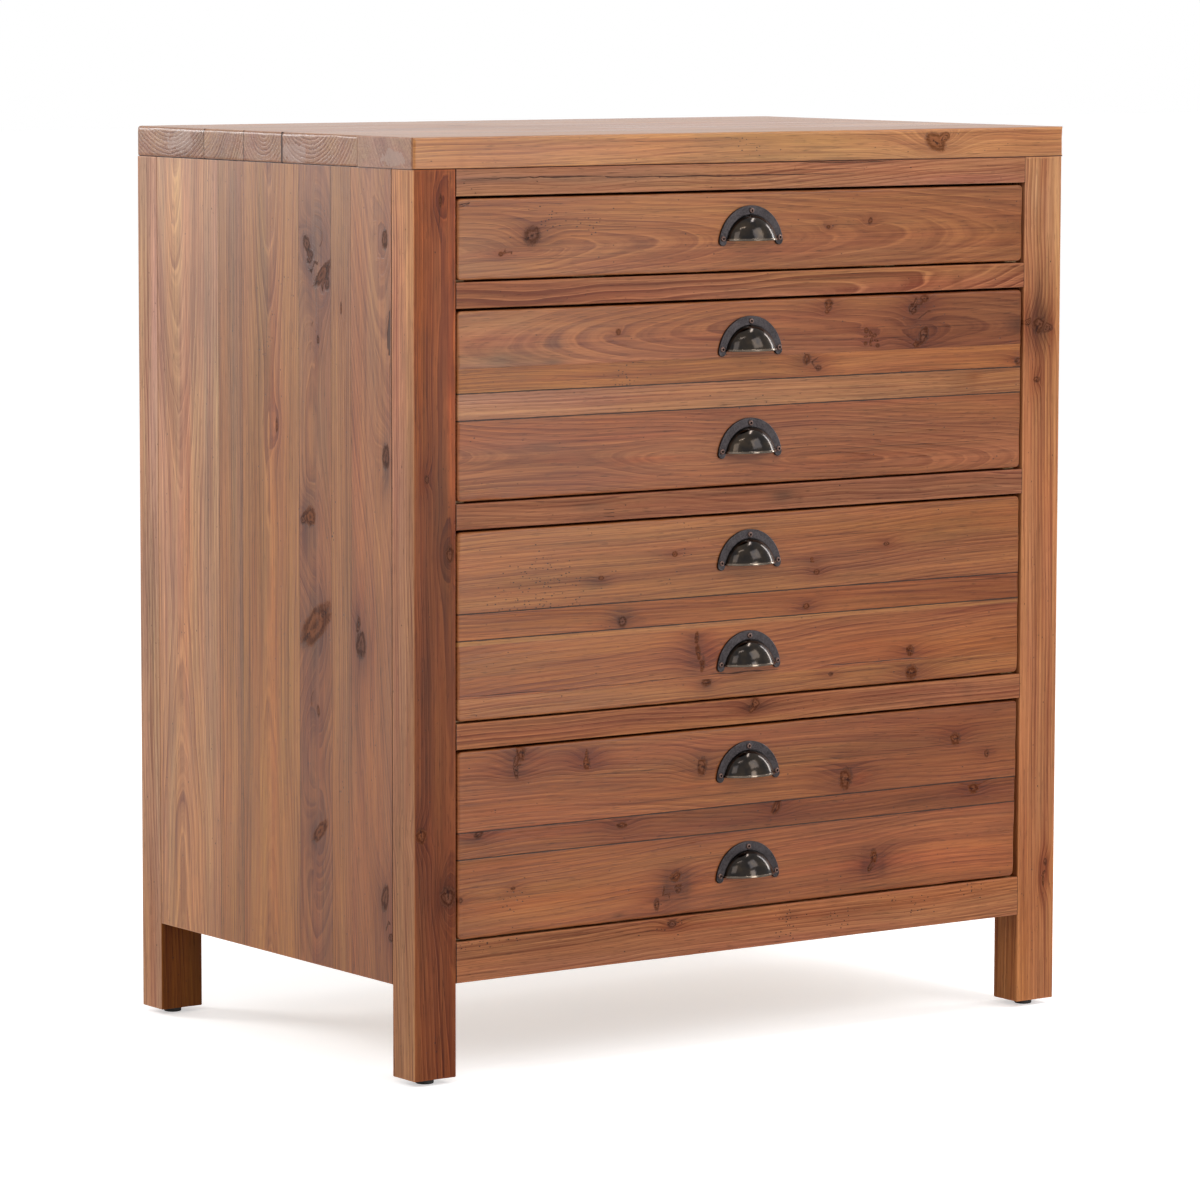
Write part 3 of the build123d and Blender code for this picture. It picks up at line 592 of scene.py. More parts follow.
front_3 = [
    dict(z=(351.5, 372.5), tint=stain(157, 103, 71), pith=((-349, 480, 50), (349, 500, 60)), pitch=3.4,
        knots=((-51.5, 369, 5, 3.6, 0, 0.4), (208.3, 361, 6.2, 6.6, 0, 0.1), (104.7, 366.5, 2.6, 1.8, 0, 0.8)),
        stains=((-51.5, 368, 9, 9, 0.4, -0.3), (208, 364, 14, 7, 0.2, 0.3)), holes=((-225, 370, 3),)),
    dict(z=(372.5, 424), tint=stain(151, 95, 66), pith=((-349, 250, 80), (349, 270, 60)), pitch=4.6, wander=7.0,
        knots=((-61.5, 400, 2.4, 6.5, 8, 0.1), (-56, 386, 2.2, 5, -14, 0.2), (206.8, 383.5, 4.0, 4.6, 0, 0.3),
        (-63, 416, 2.0, 3.6, 0, 0.2)),
        stains=((-66, 402, 10, 20, 0.3, -0.7), (-48, 400, 12, 14, 0.12, 0.8), (206, 380, 12, 10, 0.25, 0.2),
        (150, 398, 60, 16, 0.08, 0.6)),
        cracks=((-349, 375.3, -200, 373.9, 0.45), (-200, 374, -48, 376.5, 0.5), (-52, 376.4, 40, 376.5, 1.0),
        (90, 375.6, 232, 374.6, 0.7)), holes=((-316, 403, 3),)),
    dict(z=(424, 429), tint=stain(166, 112, 74), pith=((-349, 300, 80), (349, 300, 60)), pitch=4.0),
    dict(z=(429, 455), tint=stain(146, 90, 61), pith=((-349, 560, 60), (349, 540, 60)), pitch=3.8, wander=8.0,
        knots=((-154.5, 436, 4.6, 4.6, 0, 1.0), (72.5, 437, 3.8, 2.6, 0, 0.2)),
        stains=((-154, 440, 14, 11, 0.4, -0.8), (72, 438, 10, 4, 0.3, 0), (60, 449, 70, 3, 0.15, 0.6)),
        holes=((-166, 432, 3), (184, 440.7, 3))),
    dict(z=(455, 534), tint=stain(150, 97, 67), pith=((-349, 640, 70), (349, 660, 70)), pitch=3.6, wander=5.0,
        knots=((-90.9, 499, 2.9, 2.2, 0, 0.1), (-180, 480.7, 3, 1.8, 0, 0.2), (174.7, 494.3, 3.4, 1.6, 0, 0.7),
        (79.4, 484.6, 1.8, 1.4, 0, 0), (85.6, 471, 3.6, 2.2, 0, 0.3)),
        stains=((-189, 476, 16, 8, 0.3, -0.9), (80, 481, 24, 3, 0.22, -0.6), (40, 473, 18, 1.6, 0.5, 0.3),
        (-253, 478, 50, 12, 0.14, -0.3), (262, 504, 50, 14, 0.2, -0.4)),
        holes=((-194, 530, 3), (-196, 524, 4), (-77, 500, 3), (-56, 513, 3), (-70, 528, 4), (-36.7, 473, 3),
        (-94, 470, 5), (-252, 478, 26), (-255, 460, 26))),
]
front_4 = [
    dict(z=(139.5, 217), tint=stain(147, 92, 64), pith=((-349, 20, 70), (349, 40, 60)), pitch=4.4, wander=7.0,
        knots=((-110.5, 152, 3.0, 5.4, 0, 0.7), (-87.6, 178, 6, 4.6, 20, 0.1), (-84, 164, 3.4, 2.6, 0, 0.5),
        (163.5, 176, 3.6, 6.5, 10, 0.1), (158, 164, 2.6, 3.6, -20, 0.5), (-346.5, 177.8, 3, 2.4, 0, 0.9),
        (-284, 184, 2.4, 1.6, 0, 0.3)),
        stains=((-87.6, 168, 20, 20, 0.3, -0.5), (-99, 168, 5, 15, 0.4, -0.3), (-75, 168, 5, 15, 0.35, -0.3),
        (163, 168, 22, 20, 0.2, 0.2), (152, 168, 4, 13, 0.4, 0), (175, 168, 5, 13, 0.4, 0.2),
        (-157, 145.6, 7, 1.6, 1.0, 0), (40, 190, 90, 14, -0.08, 0.2), (260, 175, 90, 50, -0.22, 0.1)),
        holes=((-284, 184, 4), (227, 164, 3), (333, 141, 4), (-280, 176, 10)), narrow=3.0),
    dict(z=(217, 243), tint=stain(136, 84, 59), pith=((-349, 330, 50), (349, 340, 40)), pitch=4.0, wander=8.0,
        narrow=3.0,
        knots=((-324.6, 240.5, 4.4, 3.6, 30, 1.0), (-153.9, 234.7, 5.4, 2.6, 0, 0.2), (37.2, 237, 6.4, 4.6, 60, 0.4),
        (293, 235, 5.2, 4.6, 0, 0.0)),
        stains=((-330, 234, 26, 4, 0.5, -0.6), (-170, 234, 40, 4, 0.3, 0), (220, 228, 30, 5, 0.35, 0.3),
        (293, 235, 18, 8, 0.2, 0.5), (-60, 236, 60, 4, 0.2, 0))),
    dict(z=(243, 322), tint=stain(146, 92, 64), pith=((-349, 420, 60), (349, 400, 50)), pitch=4.2, wander=8.0,
        narrow=3.0, knots=((-275.2, 317, 4.6, 7.5, 0, 0.2), (-281, 300, 2.4, 7.5, 10, 0.9),
        (-196.7, 299, 3.4, 4.6, 0, 0.0), (-196.7, 308, 1.6, 4.8, 0, 0.0), (-55.8, 285.7, 5, 7.4, -10, 0.4),
        (125.4, 258.6, 6.6, 9.4, -8, 0.3), (267.4, 288.5, 5.4, 5.6, 10, 0.1), (309.5, 270, 2.6, 3.4, 0, 0.5)),
        stains=((-280, 305, 14, 18, 0.3, -0.5), (-56, 286, 12, 12, 0.3, -0.4), (143, 256, 10, 8, -0.15, 0.8),
        (130, 262, 24, 12, 0.2, 0.3), (262, 288, 20, 9, 0.15, 0.5), (-320, 262, 60, 6, 0.15, 0.6),
        (250, 300, 90, 12, 0.08, 0.6)), holes=((273, 258, 3),)),
]
for n, planks in enumerate((front_1, front_2, front_3, front_4), 1):
    boards = []
    for i, plank in enumerate(planks):
        z0, z1 = plank.pop("z")
        low = OWN_EDGE if i == 0 else FLUSH_JOINT if z0 in FLUSH else GROOVE
        high = OWN_EDGE if i == len(planks) - 1 else FLUSH_JOINT if z1 in FLUSH else GROOVE
        boards += front(z0, z1, 40 * n + i + 3, low, high, **plank)
    make_piece("drawer_%d_front" % n, boards, "drawer_%d" % n, WOOD)

# the legs' colours by face are painted light and shade: paler on the faces turned to the left, where the light comes
# from, and darker on the faces turned in under the case
legs = {
    "front_left": dict(x=(-SIDE_X, -LEG_X), y=(FRAME_Y, FRAME_BACK), tint=stain(120, 75, 57), bold=1.5,
        pith=((6, -350, 34), (881, -362, 26)), face_colours_and_painted_light={(X, -1): stain(158, 115, 90), (X, 1): stain(104, 58, 38)},
        knots=((183.4, -360.9, 8, 7, 0, 0.7), (514.5, -358.5, 7, 3.6, 0, 0.6), (587.4, -385, 3.4, 2, 0, 0.9),
        (245, -392, 6, 5, 0, 0.1), (852, -369, 5, 1.6, 0, 0.4)),
        stains=((186, -362, 26, 13, 0.45, 0), (166, -363, 11, 3.6, -0.6, -1.6), (560, -370, 70, 9, 0.35, -0.7),
        (500, -362, 60, 6, 0.3, -0.8), (780, -372, 60, 6, 0.15, -0.5), (380, -385, 120, 7, 0.25, -0.4),
        (860, -376, 260, 60, -0.42, 0.1), (40, -376, 130, 60, -0.2, 0.1), (620, -356, 200, 4, -0.25, 0.9),
        (700, -392, 150, 5, -0.1, 0.6)), cracks=((682, -369, 684, -364, 0.3), (820, -371, 868, -368.5, 0.35))),
    "front_right": dict(x=(LEG_X, SIDE_X), y=(FRAME_Y, FRAME_BACK), tint=stain(166, 114, 84),
        pith=((6, 300, 60), (881, 290, 70)),
        knots=((708.8, 371.6, 7.5, 7, 30, 0.6), (706, 386, 3.0, 3.6, 0, 0.8), (712, 354, 2.2, 5, 0, 0.4),
        (653, 369.3, 2.6, 3.6, 0, 0.4), (150, 388, 3.4, 1.8, 0, 0.7), (130.5, 385.5, 5, 1.4, 0, 0.4)),
        stains=((850, 376, 90, 60, -0.2, -0.8), (710, 372, 22, 14, 0.5, -0.5), (740, 371, 26, 5, 0.25, -0.4),
        (300, 372, 200, 22, 0.1, 0.2), (120, 372, 120, 24, 0.1, 0.3))),
    "back_left": dict(x=(-SIDE_X, -LEG_X), y=(224, 262), tint=stain(152, 100, 70),
        pith=((6, -300, 60), (881, -310, 50)), face_colours_and_painted_light={(X, -1): stain(178, 136, 114), (Y, -1): stain(118, 76, 50)}),
    "back_right": dict(x=(LEG_X, SIDE_X), y=(224, 262), tint=stain(148, 96, 66), pith=((6, 440, 50), (881, 450, 60)),
        face_colours_and_painted_light={(Y, -1): stain(106, 65, 42)}),
}
for i, (key, leg) in enumerate(legs.items()):
    (x0, x1), (y0, y1) = leg.pop("x"), leg.pop("y")
    # painted shade: each leg is drawn darker towards the floor
    board = Board((x0, y0, 6), (x1, y1, SLAB_Z), Z, Z, corner=(1.3,) * 4, edge=(1.0, 0.5), seed=300 + i,
                  pitch=3.4, wander=3.0, floor_shade=(0.08, 0.14, 0.26), **leg)
    make_piece("leg_" + key, [board], "case", WOOD_FRAME)

rails = {
    "top_rail_front": dict(z=(855.5, 881.5), tint=stain(151, 105, 84), pith=((-351, 960, 60), (351, 980, 80)),
        pitch=3.2,
        cracks=((-348, 871.5, 130, 868.5, 0.8), (-300, 872.5, -180, 871.5, 0.7), (60, 880, 180, 880.5, 0.8)),
        stains=((-290, 871, 70, 2.5, 0.4, -0.6), (-200, 870, 150, 2, 0.2, -0.4), (345, 871, 10, 9, 0.2, 0.3))),
    "mid_rail_1": dict(z=(748.5, 773.5), tint=stain(141, 93, 70),
        pith=((-351, 735, 26), (0, 752, 22), (351, 792, 30)), pitch=4.6, wander=9.0, bold=2.0,
        stains=((262, 757, 7, 9, 0.3, 0.2), (-120, 766, 60, 3, 0.25, -0.3))),
    "mid_rail_2": dict(z=(536.5, 561.5), tint=stain(139, 93, 73), pith=((-351, 620, 60), (351, 610, 60)), pitch=3.6,
        wander=6.0, stains=((-192, 551, 20, 3, 0.3, -0.7), (42, 550, 14, 5, 0.5, -0.6), (0, 556, 50, 2, 0.35, -0.2),
        (62, 545, 4, 4, 0.3, 0.2), (250, 556, 90, 4, 0.2, 0.1)),
        cracks=((-179, 547.6, -162, 547.8, 0.45), (-179, 540.4, -162, 540.6, 0.45))),
    "mid_rail_3": dict(z=(324.5, 349.5), tint=stain(148, 98, 72), pith=((-351, 250, 60), (351, 240, 50)), pitch=4.0,
        wander=8.0, knots=((8.7, 344.5, 4.4, 4.4, 0, 0.3), (3, 337.5, 2.6, 2.6, 0, 0.2)),
        stains=((8, 341, 16, 9, 0.3, -0.5), (30, 339, 34, 3, 0.4, -0.3), (281, 337, 10, 8, 0.25, -0.2))),
    "bottom_rail_front": dict(z=(97.5, 137.5), tint=stain(150, 99, 74), pith=((-351, 190, 40), (351, 200, 46)),
        pitch=3.6, wander=4.0, holes=((-343, 135, 7), (-325, 134, 7), (-298, 135, 6), (-280, 136, 5), (-93, 132, 9),
        (54, 126, 11), (48, 110, 8), (119, 117, 9), (219, 123, 9), (298, 132, 9), (181, 132, 8)),
        knots=((-93.5, 131, 4.6, 3.2, 0, 1.0),), stains=((-330, 125, 60, 4, 0.12, -0.4), (55, 126, 12, 4, 0.35, 0))),
}
for i, (key, rail) in enumerate(rails.items()):
    z0, z1 = rail.pop("z")
    board = Board((-LEG_X, FRAME_Y, z0), (LEG_X, FRAME_BACK, z1), X, Y, edge=(1.2, 0.6), sides=(0.2, 0.2, 1, 1),
                  seed=400 + i, **rail)
    make_piece(key, [board], "case", WOOD_FRAME)

# the top's colours at its ends and edges; the dark one on its underside is painted shade under the top
TOP_FACES_AND_UNDER_SHADE = {(X, -1): stain(147, 106, 84), (X, 1): stain(146, 106, 84), (Y, -1): stain(169, 117, 80),
       (Y, 1): stain(160, 108, 76), (Z, -1): stain(70, 38, 24)}
top_boards = [
    dict(y=(-245, -149), tint=stain(163, 114, 82), pith=((-401, 950, 40), (401, 955, 60)),
        knots=((232, 899, 11, 7, -25, 0.1), (246, 905, 4, 3, 0, 0.3)),
        stains=((-345, 890, 5, 8, 0.15, 0.2), (-180, 905, 60, 4, 0.12, -0.5), (-40, 906, 50, 3, 0.14, -0.5),
        (225, 892, 26, 7, 0.3, 0.8), (120, 884, 200, 3, 0.2, -0.2), (30, 897, 140, 12, 0.14, -0.2),
        (330, 900, 60, 9, 0.1, 0.4)), holes=((-10, 905, 5), (0, 896, 4), (-300, 900, 3), (320, 892, 3)),
        patches=((-401, -212, 891, 6, 20, 9),)),
    dict(y=(-149, -13), tint=stain(168, 120, 92), pith=((-401, -60, 30), (401, -90, 50)),
        patches=((-401, -38, 893, 6, 26, 12),), cracks=((-425, -14.5, -384, -14.5, 2.4),)),
    dict(y=(-13, 57), tint=stain(164, 116, 88), pith=((-401, 20, 4), (401, 30, 30))),
    dict(y=(57, 131), tint=stain(172, 124, 94), pith=((-401, 160, 26), (401, 150, 30)),
        knots=((-120, 96, 9, 8, 0, 0.4),)),
    dict(y=(131, 263), tint=stain(166, 118, 88), pith=((-401, 200, 60), (401, 190, 70)),
        patches=((-401, 176, 898, 6, 30, 10),)),
]
boards = []
for i, kw in enumerate(top_boards):
    y0, y1 = kw.pop("y")
    last = i == len(top_boards) - 1
    if i == 0:
        # its knots and stains are on the front edge
        look = dict(thick=Y, edge=(3.0, 0.3), sides=(1, 1, 0.7, 1), step=4.5, bold=0.7)
    else:
        c = 6 if last else 0
        look = dict(thick=Z, face=1, corner=(0, 0, c, c), edge=(2.0, 3.0), sides=(1, 1, 0.1, 1 if last else 0.1),
                    step=5.5, bold=1.4)
    boards.append(Board((-SLAB_X, y0, SLAB_Z), (SLAB_X, y1, TOP_Z), X, face_colours_and_painted_light=TOP_FACES_AND_UNDER_SHADE, seed=500 + i, pitch=4.2,
                        **look, **kw))
make_piece("top_panel", boards, "case", WOOD_TOP)

left_boards = [
    dict(y=(-206, -135), tint=stain(149, 99, 71), pith=((96, -300, 60), (881, -170, 40)), pitch=4.0,
        knots=((814, -194.7, 8, 4, 0, 0.9), (605.8, -196, 10, 5, 0, 0.9), (420, -151.6, 11, 7, 0, 1.0),
        (445, -147, 3.4, 2, 0, 0.8), (178, -193, 11, 5, -10, 0.8), (141, -203, 3.6, 3, 0, 0.9)),
        stains=((770, -200, 60, 4, 0.2, -0.6), (600, -197, 30, 6, 0.4, -0.8), (420, -152, 26, 10, 0.2, -0.5),
        (180, -190, 22, 8, 0.3, -0.3), (640, -150, 200, 6, -0.1, 0.6)),
        cracks=((620, -203, 760, -204.5, 0.8), (700, -199, 745, -198, 0.3)),
        holes=((820, -128, 3), (760, -122, 4), (745, -117, 5))),
    dict(y=(-135, -100), tint=stain(154, 105, 73), pith=((96, -20, 60), (881, -10, 50)), pitch=3.2,
        knots=((745, -118, 5, 1.4, 0, 0.2),),
        holes=((560, -103, 6), (520, -103, 5), (436, -101, 6), (344, -100, 3), (279, -117, 4), (264, -127, 3))),
    dict(y=(-100, -42), tint=stain(150, 101, 73), pith=((96, -70, 50), (500, -72, 26), (881, -70, 40)), pitch=4.4,
        knots=((804.7, -57, 7, 4.6, 30, 0.9), (790, -62, 5, 3, -50, 0.9), (776, -84, 16, 4.6, -50, 0.7),
        (768, -92.8, 6, 3.6, 0, 1.0), (538, -62, 8, 7, 0, 0.0), (534, -48, 4, 3, 0, 0.8),
        (432, -70, 27, 11, -52, 0.0), (712, -76.6, 3.6, 1.8, 0, 0.9), (229, -77, 14, 5, -50, 0.0),
        (348, -75, 5, 2, 10, 0.3)),
        stains=((800, -75, 60, 14, 0.25, -0.8), (430, -70, 34, 24, 0.3, -0.5), (535, -60, 40, 12, 0.25, -0.6),
        (229, -76, 22, 12, 0.2, -0.4), (620, -80, 60, 14, 0.1, -0.6)),
        holes=((442, -42, 5), (421, -97, 6), (302, -59, 3))),
    dict(y=(-42, 63), tint=stain(159, 109, 76), pith=((96, 14, 18), (500, 13, 34), (881, 14, 14)), pitch=4.6,
        wander=3.0, knots=((624, -1, 6, 1.6, 0, 0.3),),
        stains=((500, 6, 300, 8, -0.08, 0.9), (780, 20, 60, 10, 0.12, -0.4), (300, 55, 200, 6, 0.15, -0.3)),
        holes=((707, 12, 4), (697, 24, 5), (863, 62, 5), (735, 7, 4), (763, -9, 4), (205, -42, 3), (740, 0, 3))),
    dict(y=(63, 107), tint=stain(160, 112, 82), pith=((96, 200, 60), (881, 190, 50)), pitch=3.0,
        stains=((700, 80, 300, 4, 0.2, -0.5), (400, 66, 300, 4, 0.25, -0.4), (250, 100, 200, 3, -0.1, 0.5)),
        holes=((369, 67, 3), (153, 94, 5))),
    dict(y=(107, 224), tint=stain(173, 126, 97), pith=((96, 180, 26), (400, 184, 44), (881, 186, 20)), pitch=4.6,
        wander=4.0, stains=((650, 130, 300, 5, 0.14, -0.5), (500, 170, 300, 10, -0.06, 0.8),
        (820, 214, 60, 6, 0.12, 0), (300, 200, 200, 6, 0.12, -0.4)), holes=((829, 118, 4), (167, 122, 3))),
]
right_boards = [
    dict(y=(-206, -118), tint=stain(160, 110, 80), pith=((96, -160, 20), (881, -165, 40)),
        knots=((300, -150, 9, 7, 0, 0.6),)),
    dict(y=(-118, -66), tint=stain(152, 104, 76), pith=((96, 30, 60), (881, 40, 50))),
    dict(y=(-66, 31), tint=stain(162, 113, 82), pith=((96, -20, 40), (881, -10, 16)),
        knots=((610, 4, 12, 9, 20, 0.2),), stains=((610, 4, 30, 18, 0.25, -0.4),)),
    dict(y=(31, 71), tint=stain(150, 100, 72), pith=((96, 160, 50), (881, 150, 60))),
    dict(y=(71, 147), tint=stain(164, 116, 86), pith=((96, 110, 26), (881, 112, 50)),
        knots=((455, 90, 8, 6, 0, 0.9), (182, 128, 6, 5, 0, 0.3))),
    dict(y=(147, 224), tint=stain(156, 107, 78), pith=((96, 260, 50), (881, 270, 60))),
]
# painted shade: the side panels are darker and more orange towards the floor
for k, (key, panel) in enumerate((("left", left_boards), ("right", right_boards))):
    (x0, x1), face = ((-SIDE_X, -PANEL_X), -1) if key == "left" else ((PANEL_X, SIDE_X), 1)
    boards = []
    for i, kw in enumerate(panel):
        y0, y1 = kw.pop("y")
        boards.append(Board((x0, y0, 96), (x1, y1, SLAB_Z), Z, X, face=face, edge=(0.9, 0.9),
                            sides=(GROOVE, GROOVE, 0.9, GROOVE), seed=600 + 20 * k + i, step=5.5, glue=2.6,
                            floor_shade=(0.1, 0.19, 0.34), **kw))
    make_piece("side_panel_" + key, boards, "case", WOOD_SIDE)

boards = []
BACK_BOARDS = 7
for i in range(BACK_BOARDS):
    x0, x1 = (-LEG_X + 2 * LEG_X * (i + k) / BACK_BOARDS for k in (0, 1))
    draw = np.random.RandomState(70 + i).rand
    knots = [(120 + 720 * draw(), x0 + 20 + 60 * draw(), 4 + 6 * draw(), 4 + 4 * draw(), 0, draw()) for _ in range(2)]
    tint = stain(156, 106, 74, 0.92 + 0.16 * draw())
    pith = [(z, x0 + 30 + 50 * draw(), 14 + 40 * draw()) for z in (97, 881)]
    boards.append(Board((x0, 254, 97.5), (x1, 262, SLAB_Z), Z, Y, face=1, edge=(0.6, 0.9),
                        sides=(GROOVE, GROOVE, 0.5, GROOVE), seed=700 + i, step=6.5, pith=pith, pitch=4.6,
                        knots=knots, tint=tint))
make_piece("back_panel", boards, "case", WOOD)

# ---- plain materials for the carried nodes


def raw_pine(name, axis):
    m = Material(name)
    p = m.split(m.object_position())
    along = p[axis]
    a, b = [p[k] for k in range(3) if k != axis]
    rings = (a * 210.0 + b * 120.0 + m.noise(m.join(along * 3.0, a * 14.0, b * 14.0), 1.0, 2.0) * 3.0).fract()
    late = rings.step(0.35, 0.9) * rings.step(1.0, 0.94)
    fibre = m.noise(m.join(along * 12.0, a * 500.0, b * 500.0), 1.0, 2.0) - 0.5
    color = m.mix(late * 0.6, (0.62, 0.41, 0.22), (0.44, 0.24, 0.11))
    shade = 1.0 + fibre * 0.35
    color = m.scaled(color, m.join(shade, shade, shade))
    return m.set(Base_Color=color, Roughness=0.6 + fibre * 0.2, Normal=m.bump(fibre - late * 0.3, 0.0003))


def metal(name, color, rough, amount):
    m = Material(name)
    p = m.object_position()
    n = m.noise(p, 900.0, 3.0, 0.6) - 0.5
    big = m.noise(p, 60.0, 3.0, 0.6) - 0.5
    dull, bright = (tuple(c * k for c in color) for k in (1 - amount, 1 + amount))
    return m.set(Base_Color=m.mix((0.5 + n * 1.2 + big * 1.6).clamp(), dull, bright),
                 Roughness=rough + n * 0.12 + big * 0.2, Metallic=1.0, Normal=m.bump(n, 0.00004))


PULLS = {1: (820,), 2: (711, 610), 3: (499, 398), 4: (287, 186)}  # heights of the pulls' middles, by drawer
FOOT_DROP, LIP_DROP = 19.75, 13.65  # from there down to the pull's foot and to its bowl's lip


def pull_metal():
    """Dark bronze: a duller flange lying on the drawer, a glossy bowl standing off it, and a painted highlight along
    the bowl's lip.
    """
    m = Material("aged_bronze")
    p = m.object_position()
    n = m.noise(p, 700.0, 3.0, 0.6) - 0.5
    big = m.noise(p, 70.0, 3.0, 0.6) - 0.5
    _, y, z = m.split(p)
    flange = (y + n * 0.0002).step(-0.2458, -0.2453)
    bowl = m.mix((0.3 + big * 2.2 + n * 0.6).clamp(), (0.021, 0.019, 0.019), (0.055, 0.041, 0.029))
    plate = m.mix((0.5 + big * 1.4 + n * 2.2).clamp(), (0.022, 0.019, 0.02), (0.06, 0.052, 0.054))
    # painted highlight: a paler band round each bowl's lip, where the light catches it
    lip_highlight = 0.0
    for middle in sum(PULLS.values(), ()):
        lip_highlight = (z - (middle - LIP_DROP) / 1000).abs().step(0.0016, 0.0008) + lip_highlight
    lip_highlight = lip_highlight * (1.0 - flange) * (0.75 + big * 1.5)
    bowl = m.mix(lip_highlight.clamp(), bowl, (0.17, 0.135, 0.105))
    return m.set(Base_Color=m.mix(flange, bowl, plate), Roughness=0.12 + flange * 0.26 + n * 0.08 + big * 0.06,
                 Metallic=1.0, Normal=m.bump(n + big * 0.5, 0.00003))


RAW_Y, RAW_X = raw_pine("raw_pine_lengthwise", 1), raw_pine("raw_pine_crosswise", 0)
DARK_METAL = pull_metal()
STEEL = metal("steel", (0.5, 0.49, 0.47), 0.35, 0.3)
screw = Material("pull_screw_metal")
g = screw.noise(screw.object_position(), 900.0, 3.0) - 0.5
head = screw.mix((g * 2.0 + 0.5).clamp(), (0.06, 0.036, 0.03), (0.2, 0.125, 0.105))
# painted shade: the sunk drive is painted near black
SCREW_METAL = screw.set(Base_Color=screw.mix(screw.attribute("recess_shade"), head, (0.008, 0.006, 0.006)), Metallic=1.0,
                        Roughness=0.38 + g * 0.2, Normal=screw.bump(g, 0.00003))
glide = Material("black_glide")
g = glide.noise(glide.object_position(), 400.0, 3.0) - 0.5
GLIDE = glide.set(Base_Color=glide.mix(g + 0.5, (0.015, 0.015, 0.015), (0.03, 0.03, 0.03)), Roughness=0.55 + g * 0.2,
                  Normal=glide.bump(g, 0.0001))

# a pan head with a sunk drive, its shank and its point, as (radius, distance in front of the drawer, painted shade),
# the shade being 1 in the sunk drive, which is painted near black
SCREW = ((0.01, 2.75, 1), (0.95, 2.75, 1), (1.15, 3.45, 1), (1.4, 3.6, 0), (2.0, 3.56, 0), (2.5, 3.25, 0),
         (2.78, 2.7, 0), (2.8, 2.2, 0), (1.5, 2.15, 0), (1.5, -10.8, 0), (0.4, -13.8, 0), (0.01, -13.8, 0))
SCREW_SEATS = ((0, 34.3), (-35, 7.2), (35, 7.2))  # in a pull, across from its middle and up from its foot
TURNS = 20
for drawer, middles in PULLS.items():
    points, quads, recess_shade = [], [], []
    for middle in middles:
        foot = middle - FOOT_DROP
        for x, z in SCREW_SEATS:
            start = len(points)
            for radius, stand, d in SCREW:
                for k in range(TURNS):
                    turn = 2 * math.pi * k / TURNS
                    points.append(((x + radius * math.cos(turn)) / 1000, (FACE - stand) / 1000,
                                   (foot + z + radius * math.sin(turn)) / 1000))
                    recess_shade.append(d)
            for i in range(len(SCREW) - 1):
                for k in range(TURNS):
                    a, b = start + i * TURNS + k, start + i * TURNS + (k + 1) % TURNS
                    quads.append((a, a + TURNS, b + TURNS, b))
    mesh = bpy.data.meshes.new("pull_screws_%d_turned" % drawer)
    mesh.from_pydata(points, [], quads)
    mesh.validate()
    mesh.polygons.foreach_set("use_smooth", np.ones(len(mesh.polygons), bool))
    mesh.attributes.new("recess_shade", "FLOAT", "POINT").data.foreach_set("value", np.array(recess_shade, np.float32))
    put(mesh, SCREW_METAL, "drawer_%d" % drawer, "pull_screws_%d" % drawer)

for name, o in nodes.items():
    if o.hide_render:
        continue
    if "cup_pull" in name:
        material = DARK_METAL
    elif "screws" in name:
        material = STEEL
    elif "glides" in name:
        material = GLIDE
    elif name.endswith(("_back", "_bottom", "rail_back")) or name in ("back_panel", "top_kickers"):
        material = RAW_X
    else:
        material = RAW_Y
    o.data.materials.clear()
    o.data.materials.append(material)

# ---- camera, light and floor

azimuth, elevation, roll = math.radians(-35.59), math.radians(6.30), math.radians(0.131)
forward = Vector((-math.sin(azimuth) * math.cos(elevation), math.cos(azimuth) * math.cos(elevation),
                  -math.sin(elevation)))
camera = add_object("camera", bpy.data.cameras.new("camera"))
camera.data.lens, camera.data.sensor_width = 168.3, 36.0
camera.data.clip_start, camera.data.clip_end = 0.1, 100.0
camera.rotation_mode = "QUATERNION"
camera.rotation_quaternion = forward.to_track_quat("-Z", "Y") @ Matrix.Rotation(roll, 3, "Z").to_quaternion()
camera.location = (-3.3464, -4.6656, 1.0596)
bpy.context.scene.camera = camera

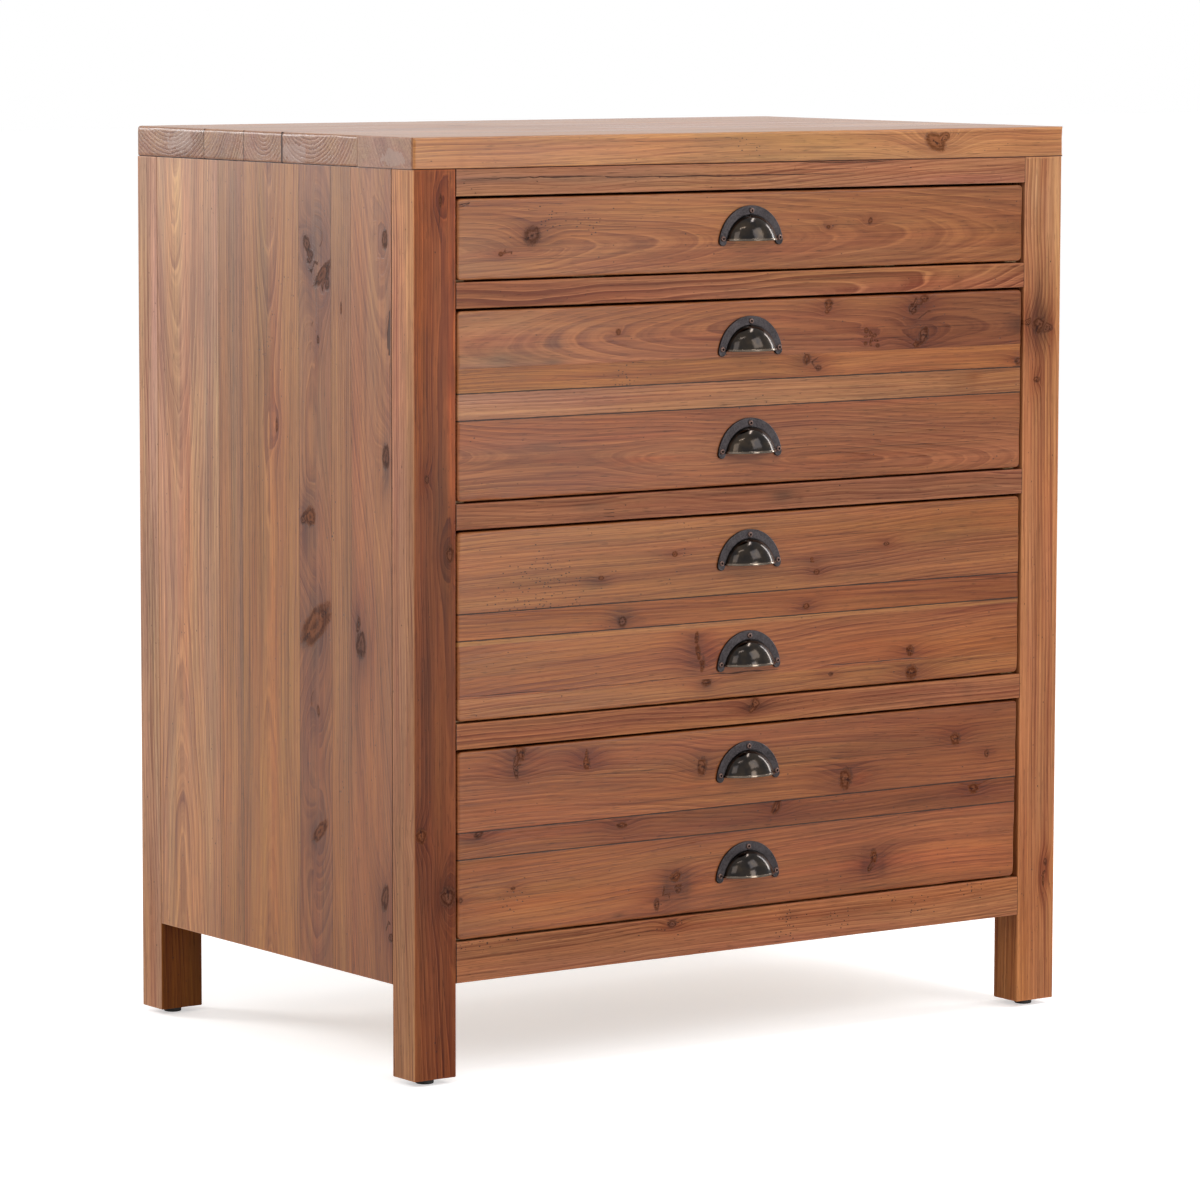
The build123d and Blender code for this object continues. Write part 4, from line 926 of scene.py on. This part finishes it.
world = bpy.data.worlds.new("plain_white")
bpy.context.scene.world = world
world.use_nodes = True
tree = world.node_tree
background = next(n for n in tree.nodes if n.type == "BACKGROUND")
background.inputs[0].default_value = (1, 1, 1, 1)
path = tree.nodes.new("ShaderNodeLightPath")
rays = [Socket(tree, path.outputs["Is %s Ray" % kind]) for kind in ("Camera", "Glossy", "Transmission")]
seen = rays[0].op("MAXIMUM", rays[1]).op("MAXIMUM", rays[2])
AMBIENT = 0.52  # the background's light on the object; the camera and mirror rays see it at full strength
feed(tree, background.inputs[1], seen * (1.0 - AMBIENT) + AMBIENT)

FRONTS = (0, -0.25, 0.6)
for name, place, target, wide, high, power in (
    ("key_light", (-3.2, -3.0, 3.2), (0, 0, 0.5), 2.2, 2.2, 42),
    ("side_light", (-2.2, 3.0, 1.6), (-0.4, 0.1, 0.8), 1.1, 1.1, 60),
    ("fill_light", (1.05, -2.6, 0.5), (-0.3, -0.2, 0.6), 0.6, 1.0, 12),
    ("soft_light", (1.3, -2.3, 1.85), FRONTS, 1.2, 1.1, 17),
    ("glint_light", (-0.6, -1.7, 2.85), FRONTS, 0.9, 0.08, 4),
    ("edge_light", (2.6, -0.5, 1.3), FRONTS, 0.3, 1.8, 22),
    ("top_light", (1.0, -0.7, 2.9), FRONTS, 0.9, 0.2, 12),
):
    lamp = bpy.data.lights.new(name, "AREA")
    lamp.shape, lamp.size, lamp.size_y, lamp.energy = "RECTANGLE", wide, high, power
    o = add_object(name, lamp)
    o.location = place
    o.rotation_mode = "QUATERNION"
    o.rotation_quaternion = (Vector(target) - Vector(place)).to_track_quat("-Z", "Y")

mesh = bpy.data.meshes.new("floor")
mesh.from_pydata([(-30, -30, 0), (30, -30, 0), (30, 30, 0), (-30, 30, 0)], [], [(0, 1, 2, 3)])
floor = add_object("floor", mesh)
white = Material("white_floor")
path = white.tree.nodes.new("ShaderNodeLightPath")
mesh.materials.append(white.set(Base_Color=(0.9, 0.9, 0.9), Roughness=0.9, Emission_Color=(1, 1, 1),
                                Emission_Strength=Socket(white.tree, path.outputs["Is Camera Ray"]) * 0.5))

bpy.context.scene.view_settings.view_transform = "Standard"
